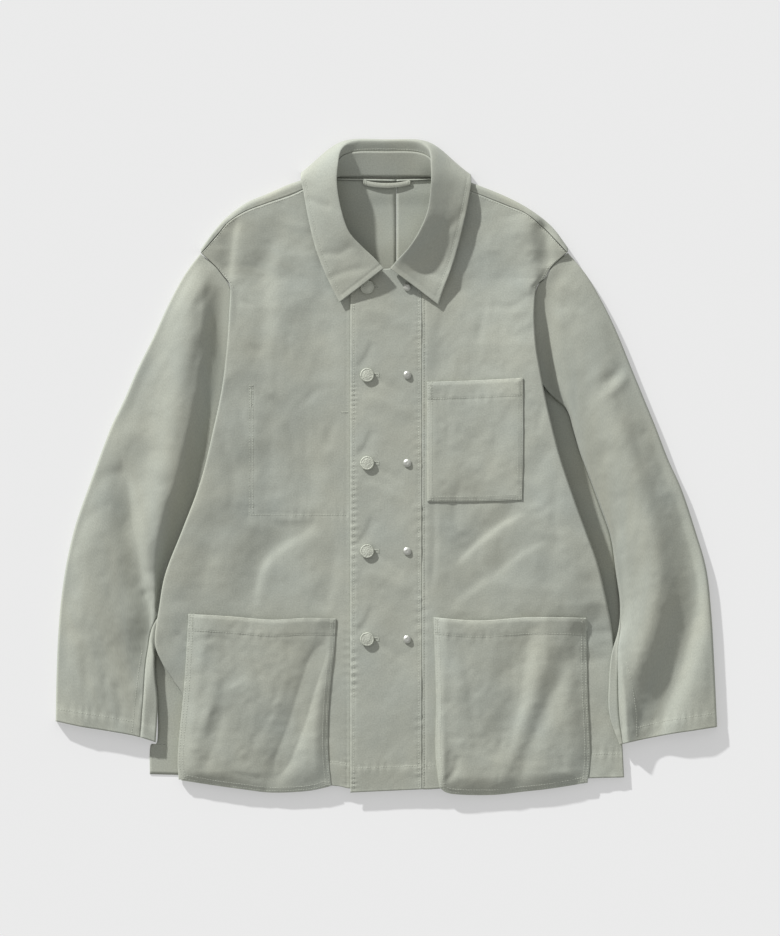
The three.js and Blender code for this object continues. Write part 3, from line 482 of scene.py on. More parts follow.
def cloth_mesh(name, grid, worn, facing_up):
    rows, columns = grid.shape[:2]
    mesh = bmesh.new()
    bmesh.ops.create_grid(mesh, x_segments=columns - 1, y_segments=rows - 1, size=1)
    data = bpy.data.meshes.new(name)
    mesh.to_mesh(data)
    flat = np.empty(len(data.vertices) * 3)
    data.vertices.foreach_get("co", flat)
    flat = flat.reshape(-1, 3)
    column = np.rint((flat[:, 0] + 1) / 2 * (columns - 1)).astype(int)
    row = np.rint((flat[:, 1] + 1) / 2 * (rows - 1)).astype(int)
    placed = (grid[row, column] - PLAN_CENTRE) * MM
    data.vertices.foreach_set("co", placed.ravel())
    mesh.free()
    sizes = np.stack([lengths_along(grid, 1)[row, column], lengths_along(grid, 0)[row, column]], 1) * MM
    corners = np.empty(len(data.loops), int)
    data.loops.foreach_get("vertex_index", corners)
    data.uv_layers.new(name="cloth").data.foreach_set("uv", sizes[corners].ravel())
    data.attributes.new("worn", "FLOAT", "POINT").data.foreach_set("value", np.clip(worn[row, column], 0, 1))
    data.update()
    normals = np.empty(len(data.polygons) * 3)
    data.polygons.foreach_get("normal", normals)
    if (normals.reshape(-1, 3)[:, 2].mean() > 0) != facing_up:
        data.flip_normals()
    data.polygons.foreach_set("use_smooth", np.ones(len(data.polygons), bool))
    return data


def cloth(name, grid, worn, node_name, facing_up=True, shell=SHELL):
    """A panel of cloth that stands for a CAD node. The grid is its outer face, in plan millimetres."""
    data = cloth_mesh(name, grid, worn, facing_up)
    data.materials.append(TWILL)
    piece = bpy.data.objects.new(name, data)
    SCENE.collection.objects.link(piece)
    wall = piece.modifiers.new("wall", "SOLIDIFY")
    wall.thickness = shell * MM
    wall.offset = -1
    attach(piece, "root")
    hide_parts(node_name)
    cloth_pieces[name] = piece
    cloth_grids[name] = (piece, grid)
    print(name, "has", len(data.polygons), "faces")
    return piece


def edge_distance(grid):
    """Distance of each point from the panel's four edges, in mm: left, right, bottom, top."""
    across, along = lengths_along(grid, 1), lengths_along(grid, 0)
    return across, across[:, -1:] - across, along, along[-1:, :] - along


def rubbed(distance, reach=2.2):
    return np.exp(-distance / reach)


print("shell", SHELL, "mm")

# %% [markdown]
# ## Seams and hems as relief
# Sewing changes the cloth beside it. The stitches pull a shallow channel, small puckers stand
# beside it at uneven distances, and a hem is thicker up to its line of stitches. This is made in
# the height of the panel itself, because it has to catch the low lamp.

# %% Channels, puckers and hems
def seam_relief(lines, x, y):
    """Channel and puckers beside lines of stitches. Each line has its spacing, depth and reach in mm."""
    total = np.zeros(np.shape(x))
    for number, (path, spacing, depth, reach) in enumerate(lines):
        path = np.asarray(curve(path, even(4 * len(path))))
        length = np.linalg.norm(np.diff(path, axis=0), axis=1).sum()
        distance, along = near_path(path, x, y)
        place = along * length
        drift = unevenness(place, place * 0, 23, 300 + number) * 1.6
        strength = 0.55 + 0.45 * unevenness(place, place * 0, 31, 400 + number)
        ripple = np.sin(2 * math.pi * place / spacing + drift) * strength
        total = total + depth * ripple * np.exp(-((distance / reach) ** 2))
        total = total - 0.28 * np.exp(-((distance / 1.5) ** 2))
    return total


HEM_STEP = 0.45  # the extra layer in a hem


def hem_relief(distance, depth):
    return HEM_STEP * (1 - smoothstep(distance, depth - 0.6, depth + 1.2))


print("hem step", HEM_STEP, "mm")

# %% [markdown]
# ## Backs
# Only parts of the two backs show: inside the neck with the centre seam, over the shoulders, where
# they turn forward to meet the fronts, and at the lower sides. Their cells can be larger.

# %% Tables of the shoulders and sleeves
SHOULDERS = {
    "right": {
        "seam": [(-72, 351), (-92, 344), (-116, 333), (-147, 322.5), (-172, 313), (-192, 300.5),
            (-206, 284),
                 (-225.5, 262)],
        "outline": [(-66, 356.5), (-86, 357), (-113, 350), (-146, 335.5), (-170, 325), (-194, 307),
            (-211, 288),
                    (-226, 267)],
    },
    "left": {
        "seam": [(74, 350), (94, 342), (119, 331.5), (148, 320), (171, 310.5), (191, 294),
            (205, 280), (221, 263)],
        "outline": [(62, 356.5), (86, 356), (115, 346), (146, 333), (172, 319), (194, 303), (208, 288.5),
                    (222, 268.5)],
    },
}
RIGHT_SLEEVE = {
    "outer": [(-226.6, 261.4), (-246, 235), (-266, 198), (-284, 159), (-303, 121), (-319, 84),
        (-334, 53), (-348, 17),
              (-363, -24), (-378, -67), (-389, -112), (-396, -158), (-400, -205), (-402, -255),
              (-403, -309)],
    "inner": [(-181, 62), (-189, 40), (-197, 16), (-205, -8), (-214, -33), (-223, -58), (-232, -84),
        (-241, -112),
              (-250, -142), (-261, -174), (-273, -205), (-281, -228), (-281.5, -252), (-278.5, -288),
              (-281, -334.5)],
    "seam": [12, 12, 12, 12, 12, 12, 12, 12, 12, 12, 18, 14, 17, 23, 25],
    "head": [(-226.6, 261.4), (-209.4, 246.6), (-199.5, 234.6), (-191, 221.6), (-185, 195),
        (-179, 160), (-176, 120),
             (-176, 88), (-181, 62)],
    "cuff": [(-403, -309), (-371, -316), (-345, -320), (-306, -327), (-281, -334.5)],
    "lift": 0,
}
LEFT_SLEEVE = {
    "outer": [(222, 262.4), (244, 236), (263, 204), (281, 167), (299, 123), (315, 84), (329, 50), (344, 11),
              (361, -27), (377, -75), (391, -124), (397, -178), (400, -228), (402, -270), (404, -316)],
    "inner": [(190, 103), (203, 87), (221, 70), (229, 45), (237, 18), (249, -14), (263, -52),
        (274, -84), (280, -125),
              (285, -164), (283.5, -196), (275, -228), (272, -262), (272.5, -300), (285, -338)],
    "seam": [2, 2, 2, 2, 2, 2, 2, 2, 2, 2, 5, 14, 21, 26, 18],
    "head": [(222, 262.4), (212.7, 255), (202.8, 245.7), (194.3, 231.7), (184.4, 220.6),
        (178.5, 190), (176.5, 150),
             (180, 122), (190, 103)],
    "cuff": [(404, -316), (372, -321), (339, -326), (296, -335), (285, -338)],
    "lift": 7.4,  # the cuff end lies on the edge of the body
}
SLEEVE_HEIGHT = 13
EDGE_HEIGHT = 0.78  # share of the height that a sleeve has at its folded edges
LIFTED_SHARE = 0.72  # share that it has where it lies on the body's edge
CROWN = 30  # how far in from its edges a sleeve reaches its height
SLEEVE_TUCKED = 6  # height where the body lies over it
TUCK_REACH = {"low": 8, "high": 34}  # how far out of the body's fold that starts, low down and high up
SLEEVE_HEAD = 10.6  # height along the armhole
SLEEVE_EDGE = 3.2
print("sleeve levels:", len(RIGHT_SLEEVE["outer"]))

# %% Backs
CENTRE_BACK = 12.6
COLLAR_SEAT = {"front": 318, "back": 340, "inner": 104, "outer": 128}  # where the back rests on the collar
BACK_CELLS = (64, 140)
BACK_HEMS = {
    "right": [(CENTRE_BACK - SEAM / 2, -382), (-120, -378), (-288, -373.5)],
    "left": [(CENTRE_BACK + SEAM / 2, -382), (150, -377), (288, -373)],
}
BACK_CORNERS = {
    "right": [(-288, -373.5), (-287.5, -339), (-279, -333)],
    "left": [(289, -373), (288, -332), (286, -283), (284, -234), (284, -212), (286, -198)],
}


def back_grid(name, sleeve):
    outward = -1 if name == "right" else 1
    centre = CENTRE_BACK + outward * SEAM / 2
    shoulder, corner = SHOULDERS[name], BACK_CORNERS[name]
    side = [(x + outward * 0.4, y) for x, y in reversed(sleeve["inner"])]
    side += [(x - outward * 1.6, y + 0.4) for x, y in reversed(sleeve["head"][1:-1])]
    side = [(x, y) for x, y in side if y > corner[-1][1] + 12]
    edges = {
        "bottom": BACK_HEMS[name],
        "top": [(centre, 355), *shoulder["outline"]],
        "left": [(centre, BACK_HEMS[name][0][1]), (centre, 352)],
        "right": [*corner, *side, shoulder["outline"][-1]],
    }
    u, v = np.meshgrid(even(BACK_CELLS[0]), even(BACK_CELLS[1]))
    edge = curve([shoulder["outline"][0], *shoulder["outline"]], even(BACK_CELLS[0]))
    seam = curve([shoulder["seam"][0], *shoulder["seam"]], even(BACK_CELLS[0]))
    wrapped = smoothstep(np.abs(edge[:, 0]), 66, 84)
    seam_gap = 0.2
    reach = mix(1, np.clip(edge[:, 1] - seam[:, 1] - seam_gap - 0.8, 1, SHOULDER_ROLL), wrapped)
    plan = patch(edges, u, v, 2.5)
    x, y = plan[..., 0], plan[..., 1] - v**6 * reach
    on_collar = 1 - smoothstep(np.abs(x), COLLAR_SEAT["inner"], COLLAR_SEAT["outer"])
    z = (WALL + LAP) * smoothstep(y, COLLAR_SEAT["front"], COLLAR_SEAT["back"]) * on_collar
    shows = smoothstep(y, 225, 245) * (1 - smoothstep(y, 325, 345))  # the part inside the neck
    z = z + np.maximum(0, 0.4 + 0.5 * washed(x, y, 55)) * shows
    flat = np.stack([x, y, z], 2)
    foot_x, foot_y, foot_z = flat[-1, :, 0], flat[-1, :, 1], flat[-1, :, 2]
    seam_top = body_height(seam[:, 0], seam[:, 1]) - foot_z
    half = mix(1.6, seam_top / 2, wrapped)
    rows = list(flat)
    for degrees in np.linspace(-70, 90, 9):
        angle = math.radians(degrees)
        turn = [foot_x, foot_y + reach * math.cos(angle), foot_z + half + half * math.sin(angle)]
        rows.append(np.stack(turn, 1))
    top = rows[-1]
    end_y = np.minimum(seam[:, 1] + seam_gap, top[:, 1] - 0.4)
    end = np.stack([mix(top[:, 0], seam[:, 0] + outward * seam_gap * 0.7, wrapped),
                    mix(top[:, 1] - 1, end_y, wrapped), top[:, 2]], 1)
    rows += [mix(top, end, share) for share in (0.35, 0.7, 1)]
    return np.array(rows)


for side_name, sleeve in (("right", RIGHT_SLEEVE), ("left", LEFT_SLEEVE)):
    grid = back_grid(side_name, sleeve)
    left, right, bottom, top = edge_distance(grid)
    worn = rubbed(top) + 0.6 * rubbed(left)
    cloth(f"back_panel_{side_name}", grid, worn, f"back_{side_name}", facing_up=False)

# %% [markdown]
# ## Fronts
# Each front is flat from its centre edge almost to its side. There it rolls over a soft edge and
# is tucked under. Hem, armhole and shoulder have their stitches, so their relief is added here.

# %% Lines of stitches on the fronts
RIGHT_HEM = [(8, -390), (-41, -391), (-59, -388), (-110, -384), (-180, -380), (-249, -380)]
LEFT_HEM = [(43.9, -392), (60, -391.6), (120, -386), (190, -381), (250, -378.5), (288, -377.5)]
FRONT_HEM_DEPTH = 29
INNER_POCKET_LINES = [
    [(-166.5, 102), (-166.5, -57)],
    [(-162.5, 102), (-162.5, -54)],
    [(-166.5, -57), (-110, -57.5), (-47, -57)],
]
FRONT_LINES = {
    "right": [([(x, y + FRONT_HEM_DEPTH) for x, y in RIGHT_HEM], 11, 0.35, 7)]
    + [(line, 9, 0.3, 6) for line in INNER_POCKET_LINES]
    + [([(-47.5, 235), (-47.5, 0), (-47.5, -388)], 8, 0.25, 5)],
    "left": [([(x, y + FRONT_HEM_DEPTH) for x, y in LEFT_HEM], 11, 0.35, 7)]
    + [([(47.5, 255), (47.5, 0), (47.5, -388)], 10, 0.25, 5)],
}
FRONT_CELLS = (104, 260)
ARMHOLE_ROLL = 1


def front_grid(side, shoulder, height_at, hem, lines):
    inset = np.minimum(ROLL, (side["top"] - side["under"]) / 2)
    inset[-4:] = ARMHOLE_ROLL
    edges = {
        "bottom": hem,
        "top": shoulder["seam"],
        "left": np.stack([side["cx"], side["cy"]], 1),
        "right": np.stack([side["fold"] - np.sign(side["fold"]) * inset, side["y"]], 1),
    }
    u, v = np.meshgrid(even(FRONT_CELLS[0]), even(FRONT_CELLS[1]))
    plan = patch(edges, u, v, 3)
    x, y = plan[..., 0], plan[..., 1]
    hem_distance = y - curve(hem, u)[..., 1]
    z = height_at(x, y) + seam_relief(lines, x, y) + hem_relief(hem_distance, FRONT_HEM_DEPTH)
    flat = np.stack([x, y, z], 2)
    edge = flat[:, -1]
    outward = np.sign(edge[:, 0])
    levels = even(FRONT_CELLS[1])
    under = curve(side["under"][:, None], levels)[:, 0]
    tuck = curve(side["tuck"][:, None], levels)[:, 0]
    half = (edge[:, 2] - under) / 2
    roll = curve(inset[:, None], levels)[:, 0]
    reach = np.minimum(roll, half)
    columns = list(flat.transpose(1, 0, 2))
    for degrees in np.linspace(72, -90, 10):
        angle = math.radians(degrees)
        across = edge[:, 0] + outward * reach * math.cos(angle)
        turn = [across, edge[:, 1], under + half + half * math.sin(angle)]
        columns.append(np.stack(turn, 1))
    bend = np.stack([mix(edge[:, 0], tuck, 0.62), edge[:, 1], mix(under, np.minimum(under, 9), 0.2)], 1)
    low = np.minimum(under, mix(under, WALL + LAP, smoothstep(under, 9, 12)))
    end = np.stack([tuck, edge[:, 1], low], 1)
    columns += [mix(columns[-1], bend, share) for share in (0.5, 1)]
    columns += [mix(bend, end, share) for share in (0.25, 0.5, 0.75, 1)]
    return np.array(columns).transpose(1, 0, 2)


# %% Fronts
for side_name, side, height_at, hem in (
    ("right", RIGHT_SIDE, body_height, RIGHT_HEM),
    ("left", LEFT_SIDE, lapped_height, LEFT_HEM),
):
    grid = front_grid(side, SHOULDERS[side_name], height_at, hem, FRONT_LINES[side_name])
    left, right, bottom, top = edge_distance(grid)
    worn = rubbed(bottom) + 0.8 * rubbed(top)
    for path, *_ in FRONT_LINES[side_name]:
        worn = worn + 0.45 * rubbed(np.abs(near_path(path, grid[..., 0], grid[..., 1])[0]))
    cloth(f"front_panel_{side_name}", grid, worn, f"front_{side_name}")

# %% [markdown]
# ## Placket
# A wide band carries the buttonholes and the studs. It is cut separately and stitched down both
# long sides, and the close stitches pucker its edges every few millimetres.

# %% Placket
PLACKET = {"left": -43.4, "right": 43.8, "top": 243, "hem": -396}
PLACKET_CELLS = (56, 400)
PLACKET_LINES = [
    ([(PLACKET["left"] + 4, 232), (PLACKET["left"] + 4, 0), (PLACKET["left"] + 4, -392)], 6.5, 0.45, 4),
    ([(PLACKET["right"] - 3.8, 250), (PLACKET["right"] - 3.8, 0),
        (PLACKET["right"] - 3.8, -389)], 9, 0.24, 5),
    ([(PLACKET["left"] + 3, -366), (0, -365), (PLACKET["right"], -363)], 10, 0.3, 7),
]
BUTTON = {"x": -23, "radius": 8.5, "height": 3, "first": 221, "pitch": 107.5, "count": 5}
STUD = {"x": 26, "radius": 5, "height": 2.6}
BUTTON_LEVELS = [BUTTON["first"] - BUTTON["pitch"] * number for number in range(BUTTON["count"])]
PLACKET_DRAGS = [(-0.8, 4, 8, [(-36, y + 8), (-24, y + 22), (-16, y + 42)]) for y in BUTTON_LEVELS[1:]]
PLACKET_DRAGS += [(-0.7, 7, 5, [(-14, y - 6), (2, y - 12), (22, y - 26)]) for y in BUTTON_LEVELS[1:]]
PLACKET_DRAGS += [(0.8, 7, 10, [(-30, y - 26), (0, y - 34), (32, y - 50)]) for y in BUTTON_LEVELS[:-1]]


def placket_grid():
    u, v = np.meshgrid(even(PLACKET_CELLS[0]), even(PLACKET_CELLS[1]))
    x = mix(PLACKET["left"], PLACKET["right"], u)
    top = PLACKET["top"] - 7 * (1 - smoothstep(x, -43, 0)) + 18 * smoothstep(x, 0, 44)
    bottom = mix(PLACKET["hem"], PLACKET["hem"] + 4, u)
    y = mix(bottom, top, v)
    z = body_height(x, y) + LAP + WALL + folds_at(PLACKET_DRAGS, x, y) + 0.6 * washed(x, y, 41)
    z = z + seam_relief(PLACKET_LINES, x, y) + hem_relief(y - bottom, 30)
    return np.stack([x, y, z], 2)


grid = placket_grid()
left, right, bottom, top = edge_distance(grid)
worn = rubbed(left) + rubbed(right) + rubbed(bottom)
for path, *_ in PLACKET_LINES:
    worn = worn + 0.5 * rubbed(np.abs(near_path(path, grid[..., 0], grid[..., 1])[0]))
cloth("buttonhole_band", grid, worn, "placket")

# %% [markdown]
# ## Patch pockets
# Three patch pockets lie on the fronts. The hip pockets are large and loose: they stand off the
# cloth in long diagonal folds and hang a little below their stitches. Each pocket is made from the
# height of the front under it, moved out.

# %% Pocket tables
POCKETS = {
    "chest_pocket": {
        "top": [(50, 105), (108, 107), (167, 110)], "bottom": [(50.5, -41), (108, -41), (166, -39)],
        "left": [(50.5, -41), (50, 30), (50, 105)], "right": [(166, -39), (167.5, 35), (167, 110)],
        "stand": 0.6, "cells": (84, 104), "hem": 21,
    },
    "hip_pocket_right": {
        "top": [(-241, -178), (-190, -181), (-139, -185), (-100, -183), (-61, -183.5)],
        "bottom": [(-250, -381), (-211, -387), (-175, -392), (-139, -396), (-95, -394), (-67, -388)],
        "left": [(-250, -381), (-254, -351), (-246, -262), (-241, -178)],
        "right": [(-67, -388), (-71, -340), (-69, -280), (-63, -220), (-61, -183.5)],
        "stand": 5.4, "cells": (120, 134), "hem": 20,
    },
    "hip_pocket_left": {
        "top": [(58, -182), (113, -186), (176, -182), (244.5, -183)],
        "bottom": [(65, -390), (80, -397.5), (127, -399), (167, -395), (202, -391), (246, -384)],
        "left": [(65, -390), (60, -345), (61, -280), (58, -182)],
        "right": [(246, -384), (249, -346), (246, -270), (244.5, -183)],
        "stand": 5.4, "cells": (120, 134), "hem": 20,
    },
}
POCKET_FOLDS = [
    (-3.4, 12, 13, [(-64, -190), (-81, -229), (-95, -270), (-109, -316), (-127, -361), (-142, -398)]),
    (-4, 20, 40, [(-64, -190), (-81, -229), (-95, -270), (-109, -316), (-127, -361), (-142, -398)]),
    (1.6, 7, 10, [(-205, -250), (-212, -284), (-226, -330)]),
    (-1.6, 8, 14, [(-200, -290), (-208, -330), (-226, -376)]),
    (-1.4, 20, 22, [(-206, -210), (-196, -244), (-186, -268)]),
    (-4.6, 13, 26, [(176, -186), (167, -240), (158, -300), (143, -362)]),
    (2, 14, 12, [(198, -200), (186, -256), (169, -310), (148, -356), (138, -396)]),
    (-2.8, 12, 14, [(233, -196), (212, -256), (187, -310), (169, -356), (158, -398)]),
    (-1.8, 10, 7, [(70, -214), (76, -262), (74, -310), (80, -360), (72, -390)]),
    (-1.4, 6, 9, [(231, -206), (236, -284)]),
]
SMALL_POCKET_FOLDS = [
    (-0.6, 7, 6, [(-214, -206), (-226, -290), (-240, -340)]),
    (-0.6, 6, 6, [(-165, -215), (-150, -280)]),
    (0.9, 5, 6, [(-234, -300), (-240, -350)]),
    (-0.6, 7, 6, [(94, -210), (104, -290), (112, -360)]),
    (-0.6, 6, 7, [(186, -214), (192, -240)]),
    (-0.7, 8, 9, [(64, 98), (72, 50), (68, -10)]),
    (-0.5, 7, 7, [(150, 80), (132, 20), (120, -20)]),
    (0.6, 6, 6, [(-120, -240), (-134, -300), (-160, -350)]),
    (-0.9, 4, 6, [(-190, -372), (-150, -380)]),
    (-0.7, 4, 6, [(-238, -214), (-214, -206), (-190, -210)]),
    (-0.9, 4, 5, [(72, -384), (84, -368), (88, -350)]),
    (-0.8, 4, 5, [(236, -376), (220, -366), (212, -350)]),
]


def pocket_lines(pocket):
    """The hem's stitches near the top, as far in as the hem is deep."""
    lowered = [(x, y - pocket["hem"]) for x, y in pocket["top"]]
    return [(lowered, 10, 0.3, 6)]


def pocket_grid(pocket):
    u, v = np.meshgrid(even(pocket["cells"][0]), even(pocket["cells"][1]))
    plan = patch(pocket, u, v)
    x, y = plan[..., 0], plan[..., 1]
    sewn = smoothstep(np.minimum(u, 1 - u), 0.01, 0.14) * smoothstep(v, 0.01, 0.2)
    folds = folds_at(POCKET_FOLDS, x, y) + folds_at(SMALL_POCKET_FOLDS, x, y)
    off = np.maximum(0, (pocket["stand"] + folds) * sewn)
    front = np.where(x < 0, body_height(x, y), lapped_height(x, y))
    left, right, bottom, top = edge_distance(np.dstack([x, y, front]))
    pressed = smoothstep(np.minimum(np.minimum(left, right), np.minimum(bottom, top)), 0, 5)
    z = front + SHELL + mix(0.1, WALL + LAP - SHELL, pressed) + off + 0.42 * washed(x, y, 71) * sewn
    from_top = curve(pocket["top"], u)[..., 1] - y
    z = z + seam_relief(pocket_lines(pocket), x, y) + hem_relief(from_top, pocket["hem"])
    return np.stack([x, y, z], 2)


# %% Pockets
for name, pocket in POCKETS.items():
    grid = pocket_grid(pocket)
    left, right, bottom, top = edge_distance(grid)
    worn = rubbed(left) + rubbed(right) + rubbed(bottom) + rubbed(top)
    worn = worn + 0.5 * rubbed(np.abs(top - pocket["hem"]))
    cloth(f"{name}_patch", grid, worn, name)

# %% [markdown]
# ## Sleeves
# A sleeve is two pieces, an upper and an under, closed to a flat tube. Its seam shows on the upper
# face near the inner edge. The tube's section has round edges, sinks where the body's side covers
# it, and the left cuff lies up on the body's edge.

# %% Sleeve shape
SLEEVE_FOLDS = [
    (9, 24, 24, [(-214, 250), (-236, 200), (-248, 110), (-256, 40), (-270, -20), (-284, -84),
        (-298, -126)]),
    (-1.8, 20, 26, [(-244, 210), (-264, 150), (-292, 90), (-306, 40)]),
    (-9, 7, 20, [(-318, -10), (-311, -60), (-305, -92), (-298, -140), (-288, -178), (-292, -226),
        (-298, -272)]),
    (1.8, 22, 24, [(-356, -60), (-362, -140), (-358, -220)]),
    (-1.8, 9, 12, [(-356, -8), (-336, -8), (-312, -2)]),
    (9.6, 20, 24, [(236, 168), (264, 96), (288, 34), (310, -27), (327, -94), (331, -149),
        (320, -200), (303, -249), (292, -296), (286, -340)]),
    (-9.4, 15, 25, [(350, -30), (366, -80), (378, -124), (376, -165), (369, -206), (356, -250),
        (338, -296), (318, -344)]),
    (-1.8, 22, 20, [(318, 60), (334, 20), (348, -30)]),
    (1, 8, 10, [(394, -150), (392, -220), (390, -290)]),
    (-1.4, 8, 9, [(282, 116), (268, 104), (258, 92)]),
]
SMALL_SLEEVE_FOLDS = [
    (-0.9, 5, 6, [(-212, 226), (-222, 206), (-232, 196)]),
    (-0.8, 5, 6, [(-204, 180), (-224, 150), (-236, 120)]),
    (-0.8, 6, 6, [(-370, -66), (-350, -50), (-336, -46)]),
    (-0.7, 7, 6, [(-372, -190), (-364, -280)]),
    (-0.8, 5, 5, [(-330, -262), (-322, -300)]),
    (-0.6, 5, 5, [(-344, -250), (-340, -292)]),
    (-0.9, 6, 5, [(212, 220), (228, 204), (240, 190)]),
    (-0.8, 6, 6, [(204, 180), (226, 150), (240, 120)]),
    (1.2, 7, 5, [(272, 88), (284, 100), (296, 114)]),
    (-1, 6, 6, [(268, 106), (278, 112), (290, 128)]),
    (-0.8, 7, 7, [(300, 60), (316, 0)]),
    (1, 6, 6, [(386, -110), (394, -150)]),
    (-0.7, 6, 5, [(384, -170), (392, -230)]),
    (-0.8, 5, 5, [(282, -200), (284, -230)]),
    (-0.9, 4, 5, [(-300, -158), (-286, -150), (-276, -158)]),
]


def sleeve_points(sleeve, face, share_across, t):
    """Points of the tube. face is 1 on the upper face and -1 on the lower one."""
    edges = {"bottom": sleeve["head"], "top": sleeve["cuff"]}
    edges.update(left=sleeve["outer"], right=sleeve["inner"])
    width = np.linalg.norm(curve(edges["left"], t) - curve(edges["right"], t), axis=-1)
    seam = curve(np.array(sleeve["seam"], float)[:, None], t)[..., 0]
    s = share_across(width, seam)
    plan = patch(edges, s, t, 3)
    x, y = plan[..., 0], plan[..., 1]
    distance = np.minimum(s, 1 - s) * width
    round_off = np.sqrt(np.maximum(0, 1 - (1 - np.minimum(distance / SLEEVE_EDGE, 1)) ** 2))
    reach = mix(TUCK_REACH["low"], TUCK_REACH["high"], smoothstep(y, -170, -50))
    hidden = smoothstep(inside_fold(x, y) / reach, -1, -0.1)
    small = folds_at(SMALL_SLEEVE_FOLDS, x, y) + washed(x, y, 91)
    relief = (folds_at(SLEEVE_FOLDS, x, y) + small) * smoothstep(distance, 2, 16) * (1 - hidden)
    height = mix(SLEEVE_HEIGHT, SLEEVE_TUCKED, hidden) * smoothstep(t, -0.9, 0.1)
    side = RIGHT_SIDE if sleeve is RIGHT_SLEEVE else LEFT_SIDE
    at_armhole = np.minimum(SLEEVE_HEAD, np.interp(y, side["y"], side["top"]) - 0.3)
    height = mix(at_armhole, height, smoothstep(t, 0, 0.09)) + relief
    on_body = 1 - smoothstep(y, -213, -178)
    over_edge = 1 - smoothstep(-inside_fold(x, y), 3, 24)
    bottom = sleeve["lift"] * on_body * over_edge
    full = height * mix(1, LIFTED_SHARE, on_body * over_edge * np.sign(sleeve["lift"]))
    full = full * mix(EDGE_HEIGHT, 1, smoothstep(distance, 0, CROWN))
    return np.stack([x, y, bottom + full / 2 + face * full * round_off / 2], -1)


# %% Sleeve grids
SLEEVE_ROWS = 196
CUFF_HEM = 17


def sleeve_grid(sleeve, places):
    t = even(SLEEVE_ROWS)
    columns = []
    for face, place in places:
        columns.append(sleeve_points(sleeve, face, place, t))
    return np.array(columns).transpose(1, 0, 2)


def from_outer(distance):
    return lambda width, seam: distance / width


def from_inner(distance):
    return lambda width, seam: 1 - distance / width


def upper_part(share):
    return lambda width, seam: mix(SLEEVE_EDGE / width, 1 - (seam + SEWN_GAP) / width, share)


def seam_part(share):
    return lambda width, seam: 1 - seam * share**2 / width


def lower_part(share):
    return lambda width, seam: mix(1 - SLEEVE_EDGE / width, (SLEEVE_EDGE + 4 * SEAM) / width, share)


SEWN_GAP = 0.12
ROUND = (0.1, 0.35, 0.8, 1.4, 2.2)
UPPER = [(-1, from_outer(d)) for d in (SLEEVE_EDGE, *reversed(ROUND))]
UPPER += [(1, from_outer(d)) for d in (0, *ROUND)]
UPPER += [(1, upper_part(share)) for share in even(58)]
UNDER = [(1, seam_part(share)) for share in reversed(even(12))]
UNDER += [(-1, from_inner(d)) for d in ROUND]
UNDER += [(-1, lower_part(share)) for share in even(22)]

for side_name, sleeve in (("right", RIGHT_SLEEVE), ("left", LEFT_SLEEVE)):
    for part, places, up in (("upper", UPPER, True), ("under", UNDER, False)):
        grid = sleeve_grid(sleeve, places)
        left, right, bottom, top = edge_distance(grid)
        seam_edge = right if part == "upper" else left
        sewn_z = hem_relief(top, CUFF_HEM) - 0.3 * rubbed(np.abs(top - CUFF_HEM), 1.4)
        ripple = np.sin(2 * math.pi * left / 12 + 2 * unevenness(left, top * 0, 30, 7))
        sewn_z = sewn_z + 0.3 * ripple * np.exp(-((top - CUFF_HEM) / 8) ** 2)
        sewn_z = sewn_z - 0.35 * rubbed(seam_edge, 1)
        upper_face = smoothstep(grid[..., 2], 4, 8)
        grid[..., 2] += sewn_z * upper_face
        low_down = 1 - smoothstep(grid[..., 1], -230, -205)
        worn = rubbed(top) + 0.5 * rubbed(seam_edge) * low_down + 0.5 * rubbed(np.abs(top - CUFF_HEM))
        cloth(f"sleeve_{part}_{side_name}", grid, worn, f"sleeve_{side_name}_{part}", facing_up=up)

# %% [markdown]
# ## Collar
# The collar stands up from the neck seam, turns over at its fold and falls to its points. Its rows
# go round the neck from the right front end to the left one. Each row has four places: the neck
# seam, the fold, the middle of the fall and its outer edge. The line through them has to turn
# tightly at the fold without swinging out, so it is spaced by distance, which is called a
# centripetal curve.

# %% Collar table
COLLAR = [
    ((-6, 239, 19), (-3, 243.5, 26), (-30, 222.5, 23.5), (-57, 202, 19)),
    ((-22, 256, 18), (-13, 255, 26.5), (-41, 237.5, 23.5), (-66, 220, 19)),
    ((-37, 270, 17), (-29, 270, 27.5), (-54, 255, 23), (-74, 237, 19)),
    ((-54, 291, 17), (-45, 288, 30), (-67, 276, 24), (-86, 268, 18.6)),
    ((-66, 317, 16), (-55, 317, 31.5), (-78, 305, 25), (-95, 305, 17.6)),
    ((-70, 340, 14.6), (-60, 349, 32), (-84, 342, 24), (-101, 338, 16)),
    ((-68, 350, 10.5), (-59, 368, 30), (-90, 360, 18), (-104, 354, 14)),
    ((-60, 355, 7), (-55, 388, 23), (-83, 377, 9.6), (-101, 362, 0.6)),
    ((-40, 356, 5.4), (-44, 397.5, 16), (-55, 397, 5.4), (-62, 352, 0)),
    ((0, 356, 5), (0, 399.6, 14), (0, 399.6, 5), (0, 346, 0)),
    ((38, 356, 5.4), (42, 397.5, 16), (54, 396, 5.4), (62, 351, 0)),
    ((58, 355, 7), (53, 388, 24), (81, 375, 10), (101, 359.5, 0.6)),
    ((66, 350, 10), (55, 368, 33), (88, 358, 20), (104, 351, 15)),
    ((70, 340, 14), (55, 349, 38), (80, 340, 27), (102, 334, 20)),
    ((62, 317, 16), (51, 315, 38.8), (74, 302, 28.5), (95, 300, 23)),
    ((51, 292, 17), (40, 288, 37.5), (64, 274, 25), (86, 264, 23)),
    ((38, 271, 18), (27, 268, 33), (54, 251, 20.5), (77, 236, 21.5)),
    ((22, 257, 19), (14, 254, 28), (44, 235, 19.8), (70, 218, 20)),
    ((8, 241, 20), (5, 243.5, 26.5), (35, 221.5, 22.5), (64, 199, 18.8)),
]
STAND_SHARE = 0.7
COLLAR_STATIONS = 300


